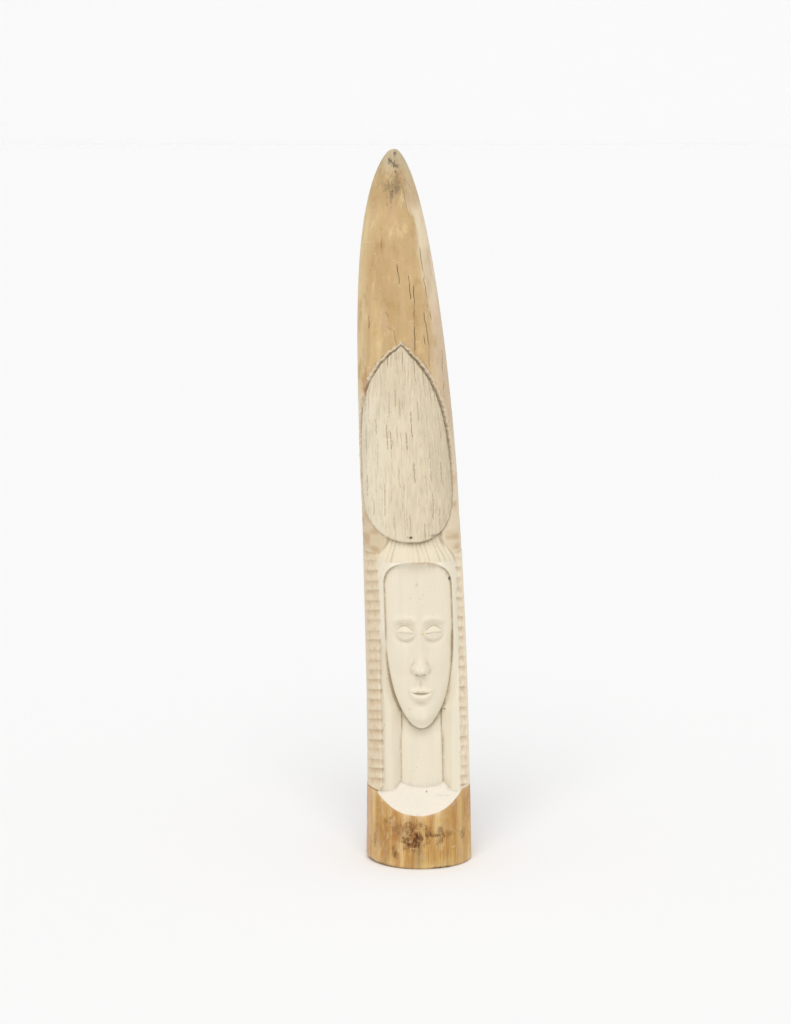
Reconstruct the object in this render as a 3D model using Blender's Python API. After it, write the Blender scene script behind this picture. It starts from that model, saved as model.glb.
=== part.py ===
"""A carved tusk section, standing on its sawn base with the tip up.

One solid: a tapering, slightly swept tusk whose front is cut into a niche with a woman's head,
neck and falling hair over a sloping chest, a tall gathered hairdo under a pointed arch, and a
notched border down each side. The front faces -Y and +Z runs up to the tip.
"""

import math

import bmesh
import bpy
import numpy as np

MM = 0.001

# The tusk
HEIGHT = 345 * MM
BASE_WIDTH = 51.2 * MM
BASE_DEPTH = 44.0 * MM
BASE_FLARE = 0.7 * MM
TAPER_LENGTH = 45 * MM
TIP_BLUNTNESS = 1.5 * MM
SWEEP_TO_LEFT = 17 * MM
SWEEP_TO_BACK = 12 * MM
TAPER_POWER = 0.72
FLARE_HEIGHT = 30 * MM
TIP_STRAIGHTENING = 0.27

# The figure in its niche: heights are shares of the tusk's height
CHEST_LIP = 0.077 * HEIGHT
BORDER_BOTTOM = 0.110 * HEIGHT
CHIN = 0.197 * HEIGHT
HAIRLINE = 0.435 * HEIGHT
BORDER_TOP = 0.446 * HEIGHT
NICHE_WIDTH = 38.6 * MM
NICHE_FOOT_WIDENING = 2.6 * MM
HEAD_WIDTH = 32.8 * MM
NECK_WIDTH = 19.6 * MM
FIGURE_SHIFT = 1.8 * MM
FOREHEAD_DEPTH = 4.2 * MM
CHEEK_DEPTH = 5.4 * MM
FOREHEAD_EDGE_DROP = 3.2 * MM
JAW_EDGE_DROP = 4.0 * MM
RIGHT_EDGE_DROP = 1.8 * MM
FACE_TURN = 0.04
CHIN_TURN_BACK = 2.6 * MM
HAIRLINE_CORNER = 13 * MM
NECK_DEPTH = 10.6 * MM
NECK_ROUNDING = 2.2 * MM
GROOVE_DEPTH = 12.8 * MM
SIDE_HAIR_STEP = 0.5 * MM
SIDE_HAIR_DEPTH = 9.0 * MM
SIDE_HAIR_SLOPE = 5.6 * MM
SIDE_HAIR_TUCK = 0.6 * MM
CHIN_SHELTER = 1.2 * MM
CHEST_SLOPE_DEG = 49.0

# How far the forms of the face stand out or lie back
NOSE_ROOT_RISE = 0.5 * MM
NOSE_BRIDGE_RISE = 2.6 * MM
NOSE_TIP_RISE = 1.4 * MM
NOSE_WING_RISE = 1.5 * MM
SOCKET_DEPTH = 1.4 * MM
EYEBALL_RISE = 2.4 * MM
LID_DROP = 1.3 * MM
LID_EDGE_DEPTH = 0.55 * MM
LID_FOLD_DEPTH = 0.35 * MM
BROW_RISE = 0.6 * MM
UPPER_LIP_RISE = 1.6 * MM
LOWER_LIP_RISE = 1.8 * MM
LIP_BOW = 0.4 * MM
MOUTH_LINE_DEPTH = 0.8 * MM
PHILTRUM_DEPTH = 0.35 * MM
UNDER_LIP_DEPTH = 0.6 * MM
CHIN_RISE = 1.0 * MM
CHEEK_RISE = 0.8 * MM

# The hairdo and the arch round it
HAIRDO_BOTTOM = 0.463 * HEIGHT
HAIRDO_WIDEST = 0.566 * HEIGHT
ARCH_PEAK = 0.735 * HEIGHT
HAIRDO_LEFT_DEG = 86.0
HAIRDO_RIGHT_DEG = 67.0
ARCH_LEAN_DEG = 60.0
HAIRDO_SINK = 1.0 * MM
HAIRDO_EDGE_ROUND = 1.6 * MM
HAIRDO_EDGE_DROP = 0.8 * MM
HAIRDO_HOLLOW_WIDTH = 9 * MM
ARCH_RIM_WIDTH = 1.4 * MM
ARCH_RIM_DROP = 0.35 * MM
HAIR_BAND_DEPTH = 2.9 * MM
HAIR_BAND_LIFT = 0.8 * MM
HAIR_BAND_NARROWING = 5.0 * MM
HAIR_BAND_FADE = 10 * MM
SHOULDER_CUT = 1.5 * MM
SHOULDER_HEIGHT = 26 * MM
SHOULDER_FULL_DEG = 45.0
SHOULDER_FADED_DEG = 85.0
STRAND_COUNT = 30
STRAND_DEPTH = 0.25 * MM

# The notched borders
BORDER_CUT = 0.2 * MM
NOTCH_PITCH = 5.2 * MM
NOTCH_DEPTH = 0.7 * MM
NOTCH_FULL_DEG = 62.0
NOTCH_FADED_DEG = 90.0
CARVING_FULL_DEG = 96.0
CARVING_ENDS_DEG = 104.0

# The mesh
EDGE_SOFTNESS = 1.0 * MM
STEEPEST_EDGE = 8.0
SLOPE_STEP = 0.05 * MM
ROW_STEP = 0.6 * MM
FOOT_ROW_STEP = 3 * MM
ROW_MARGIN = 2.5 * MM
TIP_ROWS = 36
FRONT_SHARE = 0.90
FRONT_COLUMNS = 104
SIDE_COLUMNS = 18
BACK_COLUMNS = 20
BACK_BEGINS_DEG = 106.0
SPARE_BELOW_BASE = 4 * MM
TRIANGLES = 9600

IVORY_COLOUR = (0.74, 0.63, 0.44, 1.0)


def smooth(value, low, high):
    """0 below low, 1 above high and an even S between them; it runs backwards if low > high."""
    share = np.clip((value - low) / (high - low), 0.0, 1.0)
    return share * share * (3.0 - 2.0 * share)


def mound(across, up, half_width, half_height):
    """A round mound, 1 at its centre and 0 from its rim outwards."""
    reach = (across / half_width) ** 2 + (up / half_height) ** 2
    return np.clip(1.0 - reach, 0.0, 1.0) ** 1.5


def ridge(distance, half_width):
    """The rounded cross-section of a ridge or groove, 1 on its line."""
    return np.exp(-((distance / half_width) ** 2))


def square_to_edge(beyond, across, z):
    """A level distance past an edge, turned into the distance square to the edge where it slopes."""
    slope = np.abs(beyond(across, z + SLOPE_STEP) - beyond(across, z - SLOPE_STEP)) / (2 * SLOPE_STEP)
    return beyond(across, z) / np.sqrt(1.0 + np.minimum(slope, STEEPEST_EDGE) ** 2)


# The tusk's own form

def half_width(z):
    """Half the tusk's width at a height: an even taper to a blunt tip, and a slight flare at the foot."""
    below_tip = np.maximum(HEIGHT - z, 0.0)
    reach = np.sqrt(below_tip**2 + 2.0 * TIP_BLUNTNESS * below_tip)
    taper = 1.0 - np.exp(-((reach / TAPER_LENGTH) ** TAPER_POWER))
    flare = BASE_FLARE * np.exp(-np.maximum(z, 0.0) / FLARE_HEIGHT)
    return BASE_WIDTH / 2 * taper + flare * taper


def half_depth(z):
    return half_width(z) * BASE_DEPTH / BASE_WIDTH


def centre_x(z):
    """The tusk's middle swings to the left on its way up, and straightens again near the tip."""
    rise = np.clip(z / HEIGHT, 0.0, 1.0)
    return -SWEEP_TO_LEFT * (rise**2 - TIP_STRAIGHTENING * rise**10)


def centre_y(z):
    return SWEEP_TO_BACK * np.clip(z / HEIGHT, 0.0, 1.0) ** 2


def figure_x(z):
    """The line that the figure is carved about: beside the tusk's middle low down, on it at the top."""
    return centre_x(z) + FIGURE_SHIFT * smooth(z, HAIRDO_WIDEST, HAIRLINE)


def natural_depth(across, z):
    """How far the tusk's own front lies behind its foremost line, at a distance from its middle."""
    side = np.clip(np.abs(across) / half_width(z), 0.0, 0.999)
    return half_depth(z) * (1.0 - np.sqrt(1.0 - side**2))


# The face, on the proportions of a drawing book: forehead, nose and chin take a third of the
# face's height each, the mouth lies a third of the way below the nose, and the face is five eyes wide

HEAD = HAIRLINE - CHIN
EYE = HEAD_WIDTH / 5
EYE_LINE = CHIN + 0.58 * HEAD
BROW_LINE = CHIN + 0.655 * HEAD
NOSE_FOOT = CHIN + 0.33 * HEAD
MOUTH_LINE = CHIN + 0.22 * HEAD
TEMPLE_LINE = CHIN + 0.64 * HEAD


def face_outline(z):
    """Half the face's width at a height: an egg below, and round corners up to the straight hairline."""
    up = np.clip((z - HAIRLINE + HAIRLINE_CORNER) / HAIRLINE_CORNER, 0.0, 1.0)
    down = np.clip((TEMPLE_LINE - z) / (TEMPLE_LINE - CHIN), 0.0, 1.0)
    crown = (1.0 - up**2.8) ** (1 / 2.8)
    jaw = (1.0 - down**2.3) ** (1 / 1.9)
    return HEAD_WIDTH / 2 * crown * jaw


def inside_face(u, z):
    """1 inside the face's outline and 0 outside it, with a wall as wide as the edges are soft."""

    def beyond(u, z):
        past_ends = np.maximum(CHIN - z, 0.0) + np.maximum(z - HAIRLINE, 0.0)
        return np.abs(u) - face_outline(z) + past_ends

    return smooth(square_to_edge(beyond, u, z), EDGE_SOFTNESS / 2, -EDGE_SOFTNESS / 2)


def nose_height(u, z):
    """The nose: a bridge that widens and rises to a round tip, with a wing on each side."""
    along = np.clip((z - NOSE_FOOT) / (BROW_LINE - NOSE_FOOT), 0.0, 1.0)
    bridge_rise = NOSE_ROOT_RISE + NOSE_BRIDGE_RISE * (1.0 - along) ** 0.9
    bridge_half = EYE * (0.30 + 0.16 * (1.0 - along))
    lower_edge = NOSE_FOOT + 0.08 / MM * u**2
    foot = smooth(z, lower_edge - 0.6 * MM, lower_edge + 2.2 * MM)
    bridge = bridge_rise * foot * ridge(u, bridge_half) * smooth(along, 1.0, 0.8)
    tip = NOSE_TIP_RISE * mound(u, z - NOSE_FOOT - 3.4 * MM, 0.56 * EYE, 4.6 * MM)
    wings = NOSE_WING_RISE * mound(np.abs(u) - 0.38 * EYE, z - NOSE_FOOT - 2.4 * MM, 0.36 * EYE, 3.6 * MM)
    return bridge + tip + wings


def eye_relief(u, z):
    """A hollow socket, a round lidded ball in it, a lowered lid's edge and the brow's soft arch."""
    across = np.abs(u) - EYE * 1.05
    up = z - EYE_LINE
    socket = -SOCKET_DEPTH * mound(across, up - 0.6 * MM, EYE * 1.05, 7.6 * MM)
    ball = EYEBALL_RISE * mound(across, up, EYE * 0.78, 4.6 * MM)
    lid_drop = LID_DROP * (1.0 - np.clip((across / (EYE * 0.66)) ** 2, 0.0, 1.0))
    on_ball = smooth(np.abs(across), EYE * 0.66, EYE * 0.52)
    lid_edge = -LID_EDGE_DEPTH * ridge(up + lid_drop, 0.45 * MM) * on_ball
    crease_rise = 3.9 * MM - 0.065 / MM * across**2
    over_lid = smooth(np.abs(across), EYE * 0.8, EYE * 0.6)
    crease = -LID_FOLD_DEPTH * ridge(up - crease_rise, 0.55 * MM) * over_lid
    brow_rise = BROW_LINE + 0.7 * MM - 0.040 / MM * across**2
    brow = BROW_RISE * ridge(z - brow_rise, 1.6 * MM) * smooth(np.abs(across), EYE, EYE * 0.6)
    return socket + ball + lid_edge + crease + brow


def mouth_relief(u, z):
    """Two full lips that meet in a line, a small hollow under the nose and one over the chin."""
    up = z - MOUTH_LINE
    half = EYE * 0.85
    taper = np.clip(1.0 - (u / half) ** 2, 0.0, 1.0)
    bow = LIP_BOW * ridge(np.abs(u) - 1.4 * MM, 0.9 * MM)
    upper = UPPER_LIP_RISE * ridge(up - (1.4 * MM + bow) * taper**0.5, 1.35 * MM) * taper**0.6
    lower = LOWER_LIP_RISE * ridge(up + 2.0 * MM * taper**0.5, 1.6 * MM) * taper**0.7
    line = -MOUTH_LINE_DEPTH * ridge(up, 0.5 * MM) * smooth(np.abs(u), half * 1.12, half * 0.9)
    philtrum = -PHILTRUM_DEPTH * mound(u, up - 5.2 * MM, 1.2 * MM, 2.6 * MM)
    under_lip = -UNDER_LIP_DEPTH * mound(u, up + 5.6 * MM, 4.6 * MM, 2.4 * MM)
    return upper + lower + line + philtrum + under_lip


def face_depth(u, z):
    """Depth of the face behind the tusk's foremost line."""
    q = (z - CHIN) / HEAD
    plane = FOREHEAD_DEPTH + (CHEEK_DEPTH - FOREHEAD_DEPTH) * smooth(q, 0.66, 0.48)
    drop = FOREHEAD_EDGE_DROP + (JAW_EDGE_DROP - FOREHEAD_EDGE_DROP) * smooth(q, 0.62, 0.35)
    drop = drop + RIGHT_EDGE_DROP * (u > 0)
    half = np.where(z > TEMPLE_LINE, HEAD_WIDTH / 2, np.maximum(face_outline(z), 0.2 * HEAD_WIDTH))
    side = np.clip(np.abs(u) / half, 0.0, 1.0)
    rounded = drop * (1.0 - (1.0 - side**2.2) ** 0.62) + CHIN_TURN_BACK * smooth(q, 0.075, -0.02)
    chin = CHIN_RISE * mound(u, z - (CHIN + 0.075 * HEAD), 6.0 * MM, 5.2 * MM)
    cheeks = CHEEK_RISE * mound(np.abs(u) - 8.4 * MM, z - (CHIN + 0.42 * HEAD), 5.6 * MM, 9.5 * MM)
    raised = nose_height(u, z) + eye_relief(u, z) + mouth_relief(u, z) + chin + cheeks
    return plane + FACE_TURN * u + rounded - raised * smooth(side, 1.0, 0.8)


# What stands round the face

def neck_depth(u, z):
    side = np.clip(np.abs(u) / (NECK_WIDTH / 2 + 0.3 * MM), 0.0, 0.999)
    under_chin = CHIN_SHELTER * smooth(z, CHIN - 9 * MM, CHIN + 2 * MM)
    return NECK_DEPTH + under_chin + NECK_ROUNDING * (1.0 - np.sqrt(1.0 - side**2))


def side_hair_depth(u, across, z):
    """Hair that falls past face and neck: a flat strand on each side, with a groove along its inside."""
    inner = np.maximum(face_outline(z) * (z > CHIN), NECK_WIDTH / 2)
    q = (z - CHIN) / HEAD
    outer = np.maximum(natural_depth(across, z) + SIDE_HAIR_STEP, SIDE_HAIR_DEPTH * smooth(q, 0.85, 0.40))
    groove = outer + np.maximum(GROOVE_DEPTH - outer, 0.0) * smooth(q, 0.55, 0.05)
    return groove + (outer - groove) * smooth(np.abs(u), inner - SIDE_HAIR_TUCK, inner + SIDE_HAIR_SLOPE)


def chest_depth(z):
    return (z - CHEST_LIP) / math.tan(math.radians(CHEST_SLOPE_DEG))


def niche_depth(u, across, z):
    """Depth of all that is carved in the niche; the parts that stand forward hide the others."""
    neck = np.abs(u) < NECK_WIDTH / 2
    around = np.where(neck & (z < CHIN + 0.3 * HEAD), neck_depth(u, z), side_hair_depth(u, across, z))
    face = inside_face(u, z)
    figure = around + (face_depth(u, z) - around) * face
    return np.minimum(figure, chest_depth(z))


def niche_half_width(z):
    foot = smooth(z, BORDER_BOTTOM + 2 * MM, BORDER_BOTTOM - 2 * MM)
    return NICHE_WIDTH / 2 + NICHE_FOOT_WIDENING * foot


# What is cut into the tusk's own round surface

def hairdo_edge(z, widest):
    """Half the angle that the hairdo spans: an arch of two arcs above, half an oval below."""
    up = np.clip((z - HAIRDO_WIDEST) / (ARCH_PEAK - HAIRDO_WIDEST), 0.0, 1.0)
    down = np.clip((HAIRDO_WIDEST - z) / (HAIRDO_WIDEST - HAIRDO_BOTTOM), 0.0, 1.0)
    lean = math.radians(ARCH_LEAN_DEG)
    arc = np.cos(np.arcsin(up * math.sin(lean)))
    arch = (arc - math.cos(lean)) / (1.0 - math.cos(lean))
    oval = np.sqrt(np.clip(1.0 - down**2.2, 0.0, 1.0))
    return widest * np.where(z > HAIRDO_WIDEST, arch, oval)


def beyond_hairdo(angle, z):
    """Distance outside the hairdo's edge, along the surface; it is negative inside."""

    def beyond(angle, z):
        widest = np.where(angle < 0, math.radians(HAIRDO_LEFT_DEG), math.radians(HAIRDO_RIGHT_DEG))
        past_ends = np.maximum(z - ARCH_PEAK, 0.0) + np.maximum(HAIRDO_BOTTOM - z, 0.0)
        return half_width(z) * (np.abs(angle) - hairdo_edge(z, widest)) + past_ends

    return square_to_edge(beyond, angle, z)


def hair_band_cut(angle, z):
    """Hair that fans down from under the hairdo to the hairline, cut in strands."""
    up = (z - HAIRLINE) / (HAIRDO_BOTTOM - HAIRLINE)
    depth = HAIR_BAND_LIFT + (HAIR_BAND_DEPTH - HAIR_BAND_LIFT) * smooth(up, 0.0, 1.1)
    spread = np.arctan2(angle * half_width(z), HAIRDO_WIDEST - z)
    strands = STRAND_DEPTH * np.cos(STRAND_COUNT * spread)
    above_hairline = smooth(z, HAIRLINE - HAIR_BAND_FADE, HAIRLINE)
    return depth * (0.3 + 0.7 * above_hairline) + strands * above_hairline


def border_cut(angle, z):
    """The borders stand a little under the tusk's surface, with a row of square notches."""
    phase = ((z - BORDER_BOTTOM) / NOTCH_PITCH) % 1.0
    notch = smooth(phase, 0.10, 0.32) * smooth(phase, 0.92, 0.62)
    to_silhouette = smooth(np.abs(angle), math.radians(NOTCH_FADED_DEG), math.radians(NOTCH_FULL_DEG))
    return BORDER_CUT + NOTCH_DEPTH * notch * (0.2 + 0.8 * to_silhouette)


def surface_cut(angle, u, z):
    """Depth cut off the tusk's own surface, square to it."""
    soft = EDGE_SOFTNESS / 2
    beyond = beyond_hairdo(angle, z)
    band_half = NICHE_WIDTH / 2 - HAIR_BAND_NARROWING * smooth(z, HAIRLINE, HAIRDO_BOTTOM + 2 * MM)
    in_band = smooth(np.abs(u), band_half + soft, band_half - soft) * (np.abs(angle) < math.pi / 2)
    front = smooth(np.abs(angle), math.radians(CARVING_ENDS_DEG), math.radians(CARVING_FULL_DEG))
    below = smooth(z, HAIRDO_WIDEST, HAIRDO_WIDEST - SHOULDER_HEIGHT)
    borders = border_cut(angle, z) * smooth(z, BORDER_TOP + soft, BORDER_TOP - soft)
    flank = smooth(np.abs(angle), math.radians(SHOULDER_FADED_DEG), math.radians(SHOULDER_FULL_DEG))
    shoulder = SHOULDER_CUT * (0.25 + 0.75 * flank) * smooth(z, BORDER_TOP - soft, BORDER_TOP + soft)
    sides = (borders + shoulder) * front * below
    cut = sides + (hair_band_cut(angle, z) - sides) * in_band * below
    cut *= smooth(z, BORDER_BOTTOM - soft, BORDER_BOTTOM + soft)
    rim = ARCH_RIM_DROP * smooth(beyond, ARCH_RIM_WIDTH, 0.0)
    cut = np.maximum(cut, rim)
    rounding = HAIRDO_EDGE_DROP * smooth(beyond, -HAIRDO_EDGE_ROUND, 0.0) * below
    near_edge = smooth(beyond, -HAIRDO_HOLLOW_WIDTH, -EDGE_SOFTNESS)
    hollow = HAIRDO_SINK * (0.35 + 0.65 * near_edge) * (1.0 - 0.6 * below)
    return cut + (hollow + rounding - cut) * smooth(beyond, soft / 2, -soft / 2)


# From the forms to a solid

def column_angles():
    """Angles round the tusk from its front line: close together over the carving, wide behind."""
    behind = math.radians(BACK_BEGINS_DEG)
    front = np.arcsin(np.linspace(-FRONT_SHARE, FRONT_SHARE, FRONT_COLUMNS))
    side = np.linspace(front[-1], behind, SIDE_COLUMNS)[1:]
    back = np.linspace(behind, 2 * math.pi - behind, BACK_COLUMNS)[1:-1]
    return np.concatenate([front, side, back, 2 * math.pi - side[::-1]])


def row_heights():
    """Heights from below the base to just under the tip: close over the carving, wide elsewhere."""
    foot = np.arange(-SPARE_BELOW_BASE, CHEST_LIP - ROW_MARGIN, FOOT_ROW_STEP)
    carved = np.arange(CHEST_LIP - ROW_MARGIN, ARCH_PEAK + ROW_MARGIN, ROW_STEP)
    share = np.linspace(0.0, 1.0, TIP_ROWS, endpoint=False)
    top = carved[-1]
    tip = top + (HEIGHT - top) * (1.0 - (1.0 - share[1:]) ** 2)
    return np.concatenate([foot, carved, tip])


def carved_points():
    """The points of the carved tusk, one row for each height and one column for each angle."""
    angle, z = np.meshgrid(column_angles(), row_heights())
    signed = (angle + math.pi) % (2 * math.pi) - math.pi
    a, b = half_width(z), half_depth(z)
    normal = np.stack([np.sin(signed) * b, -np.cos(signed) * a])
    normal /= np.linalg.norm(normal, axis=0)
    x = centre_x(z) + a * np.sin(signed)
    y = centre_y(z) - b * np.cos(signed)
    cut = surface_cut(signed, x - figure_x(z), z)
    x, y = x - normal[0] * cut, y - normal[1] * cut
    u, across = x - figure_x(z), x - centre_x(z)
    foremost = centre_y(z) - b
    carved = foremost + niche_depth(u, across, z)
    inset = niche_half_width(z) - np.abs(u)
    in_niche = smooth(inset, -0.3 * EDGE_SOFTNESS, 0.3 * EDGE_SOFTNESS)
    in_niche *= (z < HAIRLINE) & (z > CHEST_LIP) & (np.cos(signed) > 0)
    y = y + np.maximum(carved - y, 0.0) * in_niche
    return np.stack([x, y, z], axis=-1)


def ivory():
    material = bpy.data.materials.new("ivory")
    material.use_nodes = True
    shader = material.node_tree.nodes["Principled BSDF"]
    shader.inputs["Base Color"].default_value = IVORY_COLOUR
    shader.inputs["Roughness"].default_value = 0.45
    return material


def make_base_saw():
    """The block that saws the foot off flat at height zero."""
    side = 3 * BASE_WIDTH
    deep = 2 * SPARE_BELOW_BASE
    bpy.ops.mesh.primitive_cube_add(size=1.0, location=(0, 0, -deep / 2), scale=(side, side, deep))
    saw = bpy.context.object
    saw.name = "base_saw"
    saw.hide_render = True
    saw.display_type = "WIRE"
    return saw


def make_tusk():
    points = carved_points()
    rows, columns = points.shape[:2]
    bm = bmesh.new()
    rings = [[bm.verts.new(point) for point in row] for row in points]
    for lower, upper in zip(rings, rings[1:]):
        for k in range(columns):
            nxt = (k + 1) % columns
            bm.faces.new((lower[k], lower[nxt], upper[nxt], upper[k]))
    tip = bm.verts.new((centre_x(HEIGHT), centre_y(HEIGHT), HEIGHT))
    for k in range(columns):
        bm.faces.new((rings[-1][k], rings[-1][(k + 1) % columns], tip))
    bm.faces.new(list(reversed(rings[0])))
    bmesh.ops.triangulate(bm, faces=bm.faces[:])
    mesh = bpy.data.meshes.new("carved_tusk")
    bm.to_mesh(mesh)
    bm.free()
    mesh.shade_smooth()
    mesh.materials.append(ivory())
    tusk = bpy.data.objects.new("carved_tusk", mesh)
    bpy.context.scene.collection.objects.link(tusk)

    thin = tusk.modifiers.new("thin_out_flat_places", "DECIMATE")
    thin.ratio = TRIANGLES / len(mesh.polygons)
    thin.use_collapse_triangulate = True
    saw_off = tusk.modifiers.new("saw_off_the_foot", "BOOLEAN")
    saw_off.object = make_base_saw()
    saw_off.operation = "DIFFERENCE"
    saw_off.solver = "EXACT"
    return tusk


def main():
    for obj in list(bpy.data.objects):
        bpy.data.objects.remove(obj)
    make_tusk()


main()
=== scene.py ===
"""A carved ivory tusk section on a pale studio floor.

The tusk is one piece. Its large forms are worked out from named sizes, and what repeats over it
or follows a line on it (border notches, gouge strokes, drying cracks) is cut by Geometry Nodes.
"""

import math

import bpy
import numpy as np
from bpy.props import FloatProperty, FloatVectorProperty, IntProperty, PointerProperty
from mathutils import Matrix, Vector


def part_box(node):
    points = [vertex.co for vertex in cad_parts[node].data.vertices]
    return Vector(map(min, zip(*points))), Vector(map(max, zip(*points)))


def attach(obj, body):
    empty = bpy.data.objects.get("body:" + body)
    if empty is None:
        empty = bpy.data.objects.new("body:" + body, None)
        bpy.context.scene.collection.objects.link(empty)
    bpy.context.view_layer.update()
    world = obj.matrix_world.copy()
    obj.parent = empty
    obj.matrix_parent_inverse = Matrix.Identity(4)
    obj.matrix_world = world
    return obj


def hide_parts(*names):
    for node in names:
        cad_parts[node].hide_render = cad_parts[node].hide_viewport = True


bl_info = {
    "name": "Carved Ivory Tusk",
    "version": (1, 0, 0),
    "blender": (4, 5, 0),
    "location": "3D View > Sidebar > Carved Tusk",
    "description": "Builds a carved ivory tusk section and a plain studio around it",
    "category": "Object",
}

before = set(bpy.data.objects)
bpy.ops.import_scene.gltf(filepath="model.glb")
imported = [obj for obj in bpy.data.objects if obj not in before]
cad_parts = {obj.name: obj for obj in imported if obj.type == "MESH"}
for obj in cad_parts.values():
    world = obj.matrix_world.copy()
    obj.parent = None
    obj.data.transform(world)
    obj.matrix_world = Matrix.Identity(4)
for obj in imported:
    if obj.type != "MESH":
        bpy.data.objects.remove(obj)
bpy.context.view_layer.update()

MM = 0.001

# The tusk
HEIGHT = 345 * MM
BASE_WIDTH = 51.2 * MM
BASE_DEPTH = 44.0 * MM
BASE_FLARE = 0.7 * MM
TAPER_LENGTH = 45 * MM
TIP_BLUNTNESS = 1.5 * MM
SWEEP_TO_LEFT = 17 * MM
SWEEP_TO_BACK = 12 * MM
TAPER_POWER = 0.72
FLARE_HEIGHT = 30 * MM
TIP_STRAIGHTENING = 0.27
WORN_FOOT = 1.2 * MM
WORN_CORNER = 2.6 * MM
WORN_CORNER_DEG = -62.0

# The figure in its niche: heights are shares of the tusk's height
CHEST_LIP = 0.077 * HEIGHT
BORDER_BOTTOM = 0.110 * HEIGHT
CHIN = 0.197 * HEIGHT
HAIRLINE = 0.435 * HEIGHT
BORDER_TOP = 0.446 * HEIGHT
NICHE_WIDTH = 38.6 * MM
NICHE_FOOT_WIDENING = 2.6 * MM
HEAD_WIDTH = 32.8 * MM
NECK_WIDTH = 19.6 * MM
FIGURE_SHIFT = 1.8 * MM
FOREHEAD_DEPTH = 4.2 * MM
CHEEK_DEPTH = 5.4 * MM
FOREHEAD_EDGE_DROP = 3.2 * MM
RIGHT_EDGE_DROP = 1.8 * MM
FACE_TURN = 0.04
JAW_EDGE_DROP = 4.0 * MM
HAIRLINE_CORNER = 13 * MM
NECK_DEPTH = 10.6 * MM
NECK_ROUNDING = 2.2 * MM
GROOVE_DEPTH = 12.8 * MM
SIDE_HAIR_STEP = 0.5 * MM
SIDE_HAIR_DEPTH = 9.0 * MM
SIDE_HAIR_SLOPE = 5.6 * MM
CHEST_SLOPE_DEG = 49.0

# The hairdo and the arch round it
HAIRDO_BOTTOM = 0.463 * HEIGHT
HAIRDO_WIDEST = 0.566 * HEIGHT
ARCH_PEAK = 0.735 * HEIGHT
HAIRDO_LEFT_DEG = 86.0
HAIRDO_RIGHT_DEG = 67.0
HAIRDO_SINK = 1.0 * MM
HAIRDO_EDGE_ROUND = 1.6 * MM
ARCH_RIM_WIDTH = 1.3 * MM
HAIR_BAND_DEPTH = 2.9 * MM
HAIR_BAND_LIFT = 0.8 * MM
SHOULDER_CUT = 1.5 * MM
STRAND_COUNT = 100
STRAND_DEPTH = 0.22 * MM
BORDER_CUT = 0.2 * MM
NOTCH_TILT = 0.2
LEFT_NOTCH_STEPS = 40.35  # keeps the left border's notches unlike the right one's
STROKE_WIDTH = 0.50 * MM
FINE_STROKE_WIDTH = 0.40 * MM
CRACK_WIDTH = 0.38 * MM
# How often a column of gouge strokes wanders and shakes, and a stroke skips
WANDERS_PER_METRE = 45.0
SHAKES_PER_METRE = 420.0
SKIPS_PER_METRE = 620.0

# Heights in metres at which a colour comes in or ends
STRIP_FADES_IN = (0.215, 0.262)
STRIP_PINK_ENDS = (0.285, 0.262)
STRIP_RIND_FROM = 0.2
LEFT_SKIN_ENDS = (0.236, 0.222)
RIGHT_SKIN_ENDS = (0.270, 0.238)
RIGHT_SKIN_PALES = (0.220, 0.196)
HAIRDO_TOP_GREYS = (0.222, 0.245)
TIP_DARKENS = (0.314, 0.324)
TIP_GREYS = (0.331, 0.340)
FOOT_ENDS = (0.060, 0.030)
FOOT_RIM_ENDS = (0.016, 0.004)
# The left edge of the pale strip: height in metres, x in millimetres
STRIP_EDGE = ((0.24, 9.0), (0.271, 4.2), (0.299, -1.4), (0.3126, -2.8), (0.3197, -7.0), (0.328, -8.3))

# The mesh
EDGE_SOFTNESS = 0.55 * MM
CELL = 0.29 * MM
TRIANGLES = 192000

# The studio
FLOOR_REACH = 14.0
WALL_HEIGHT = 1.6
CAMERA_TARGET = (-0.0115, 0.0, 0.172)

# Drying cracks: x and height at the upper end, then at the lower end, in millimetres, and strength
CRACKS = (
    (-25.0, 37.6, -17.8, 36.6, 1.0), (25.0, 40.2, 20.4, 37.4, 1.0), (-10.9, 291.4, -9.7, 282.8, 0.9),
    (-5.3, 286.2, -4.2, 275.5, 0.9), (-2.9, 281.5, -2.3, 251.1, 1.0), (-8.3, 328.1, -6.6, 319.7, 0.55),
    (-6.6, 319.7, 0.1, 299.1, 0.55), (0.1, 299.1, 3.9, 271.4, 0.8), (2.0, 268.7, 4.7, 252.6, 1.0),
    (4.7, 252.6, 4.6, 243.3, 1.0), (2.0, 258.0, 2.6, 253.8, 1.0), (-18.4, 308.5, -18.4, 298.3, 0.7),
    (-24.2, 267.1, -24.2, 261.4, 1.0), (-16.3, 269.4, -14.9, 267.1, 0.9),
    (-16.4, 262.4, -12.2, 260.2, 0.7), (-12.2, 260.2, -11.2, 254.6, 1.0), (4.7, 269.1, 5.8, 265.2, 0.8),
    (10.8, 250.6, 11.8, 228.1, 1.0), (-15.6, 326.2, -15.6, 318.8, 0.7),
)
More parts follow.
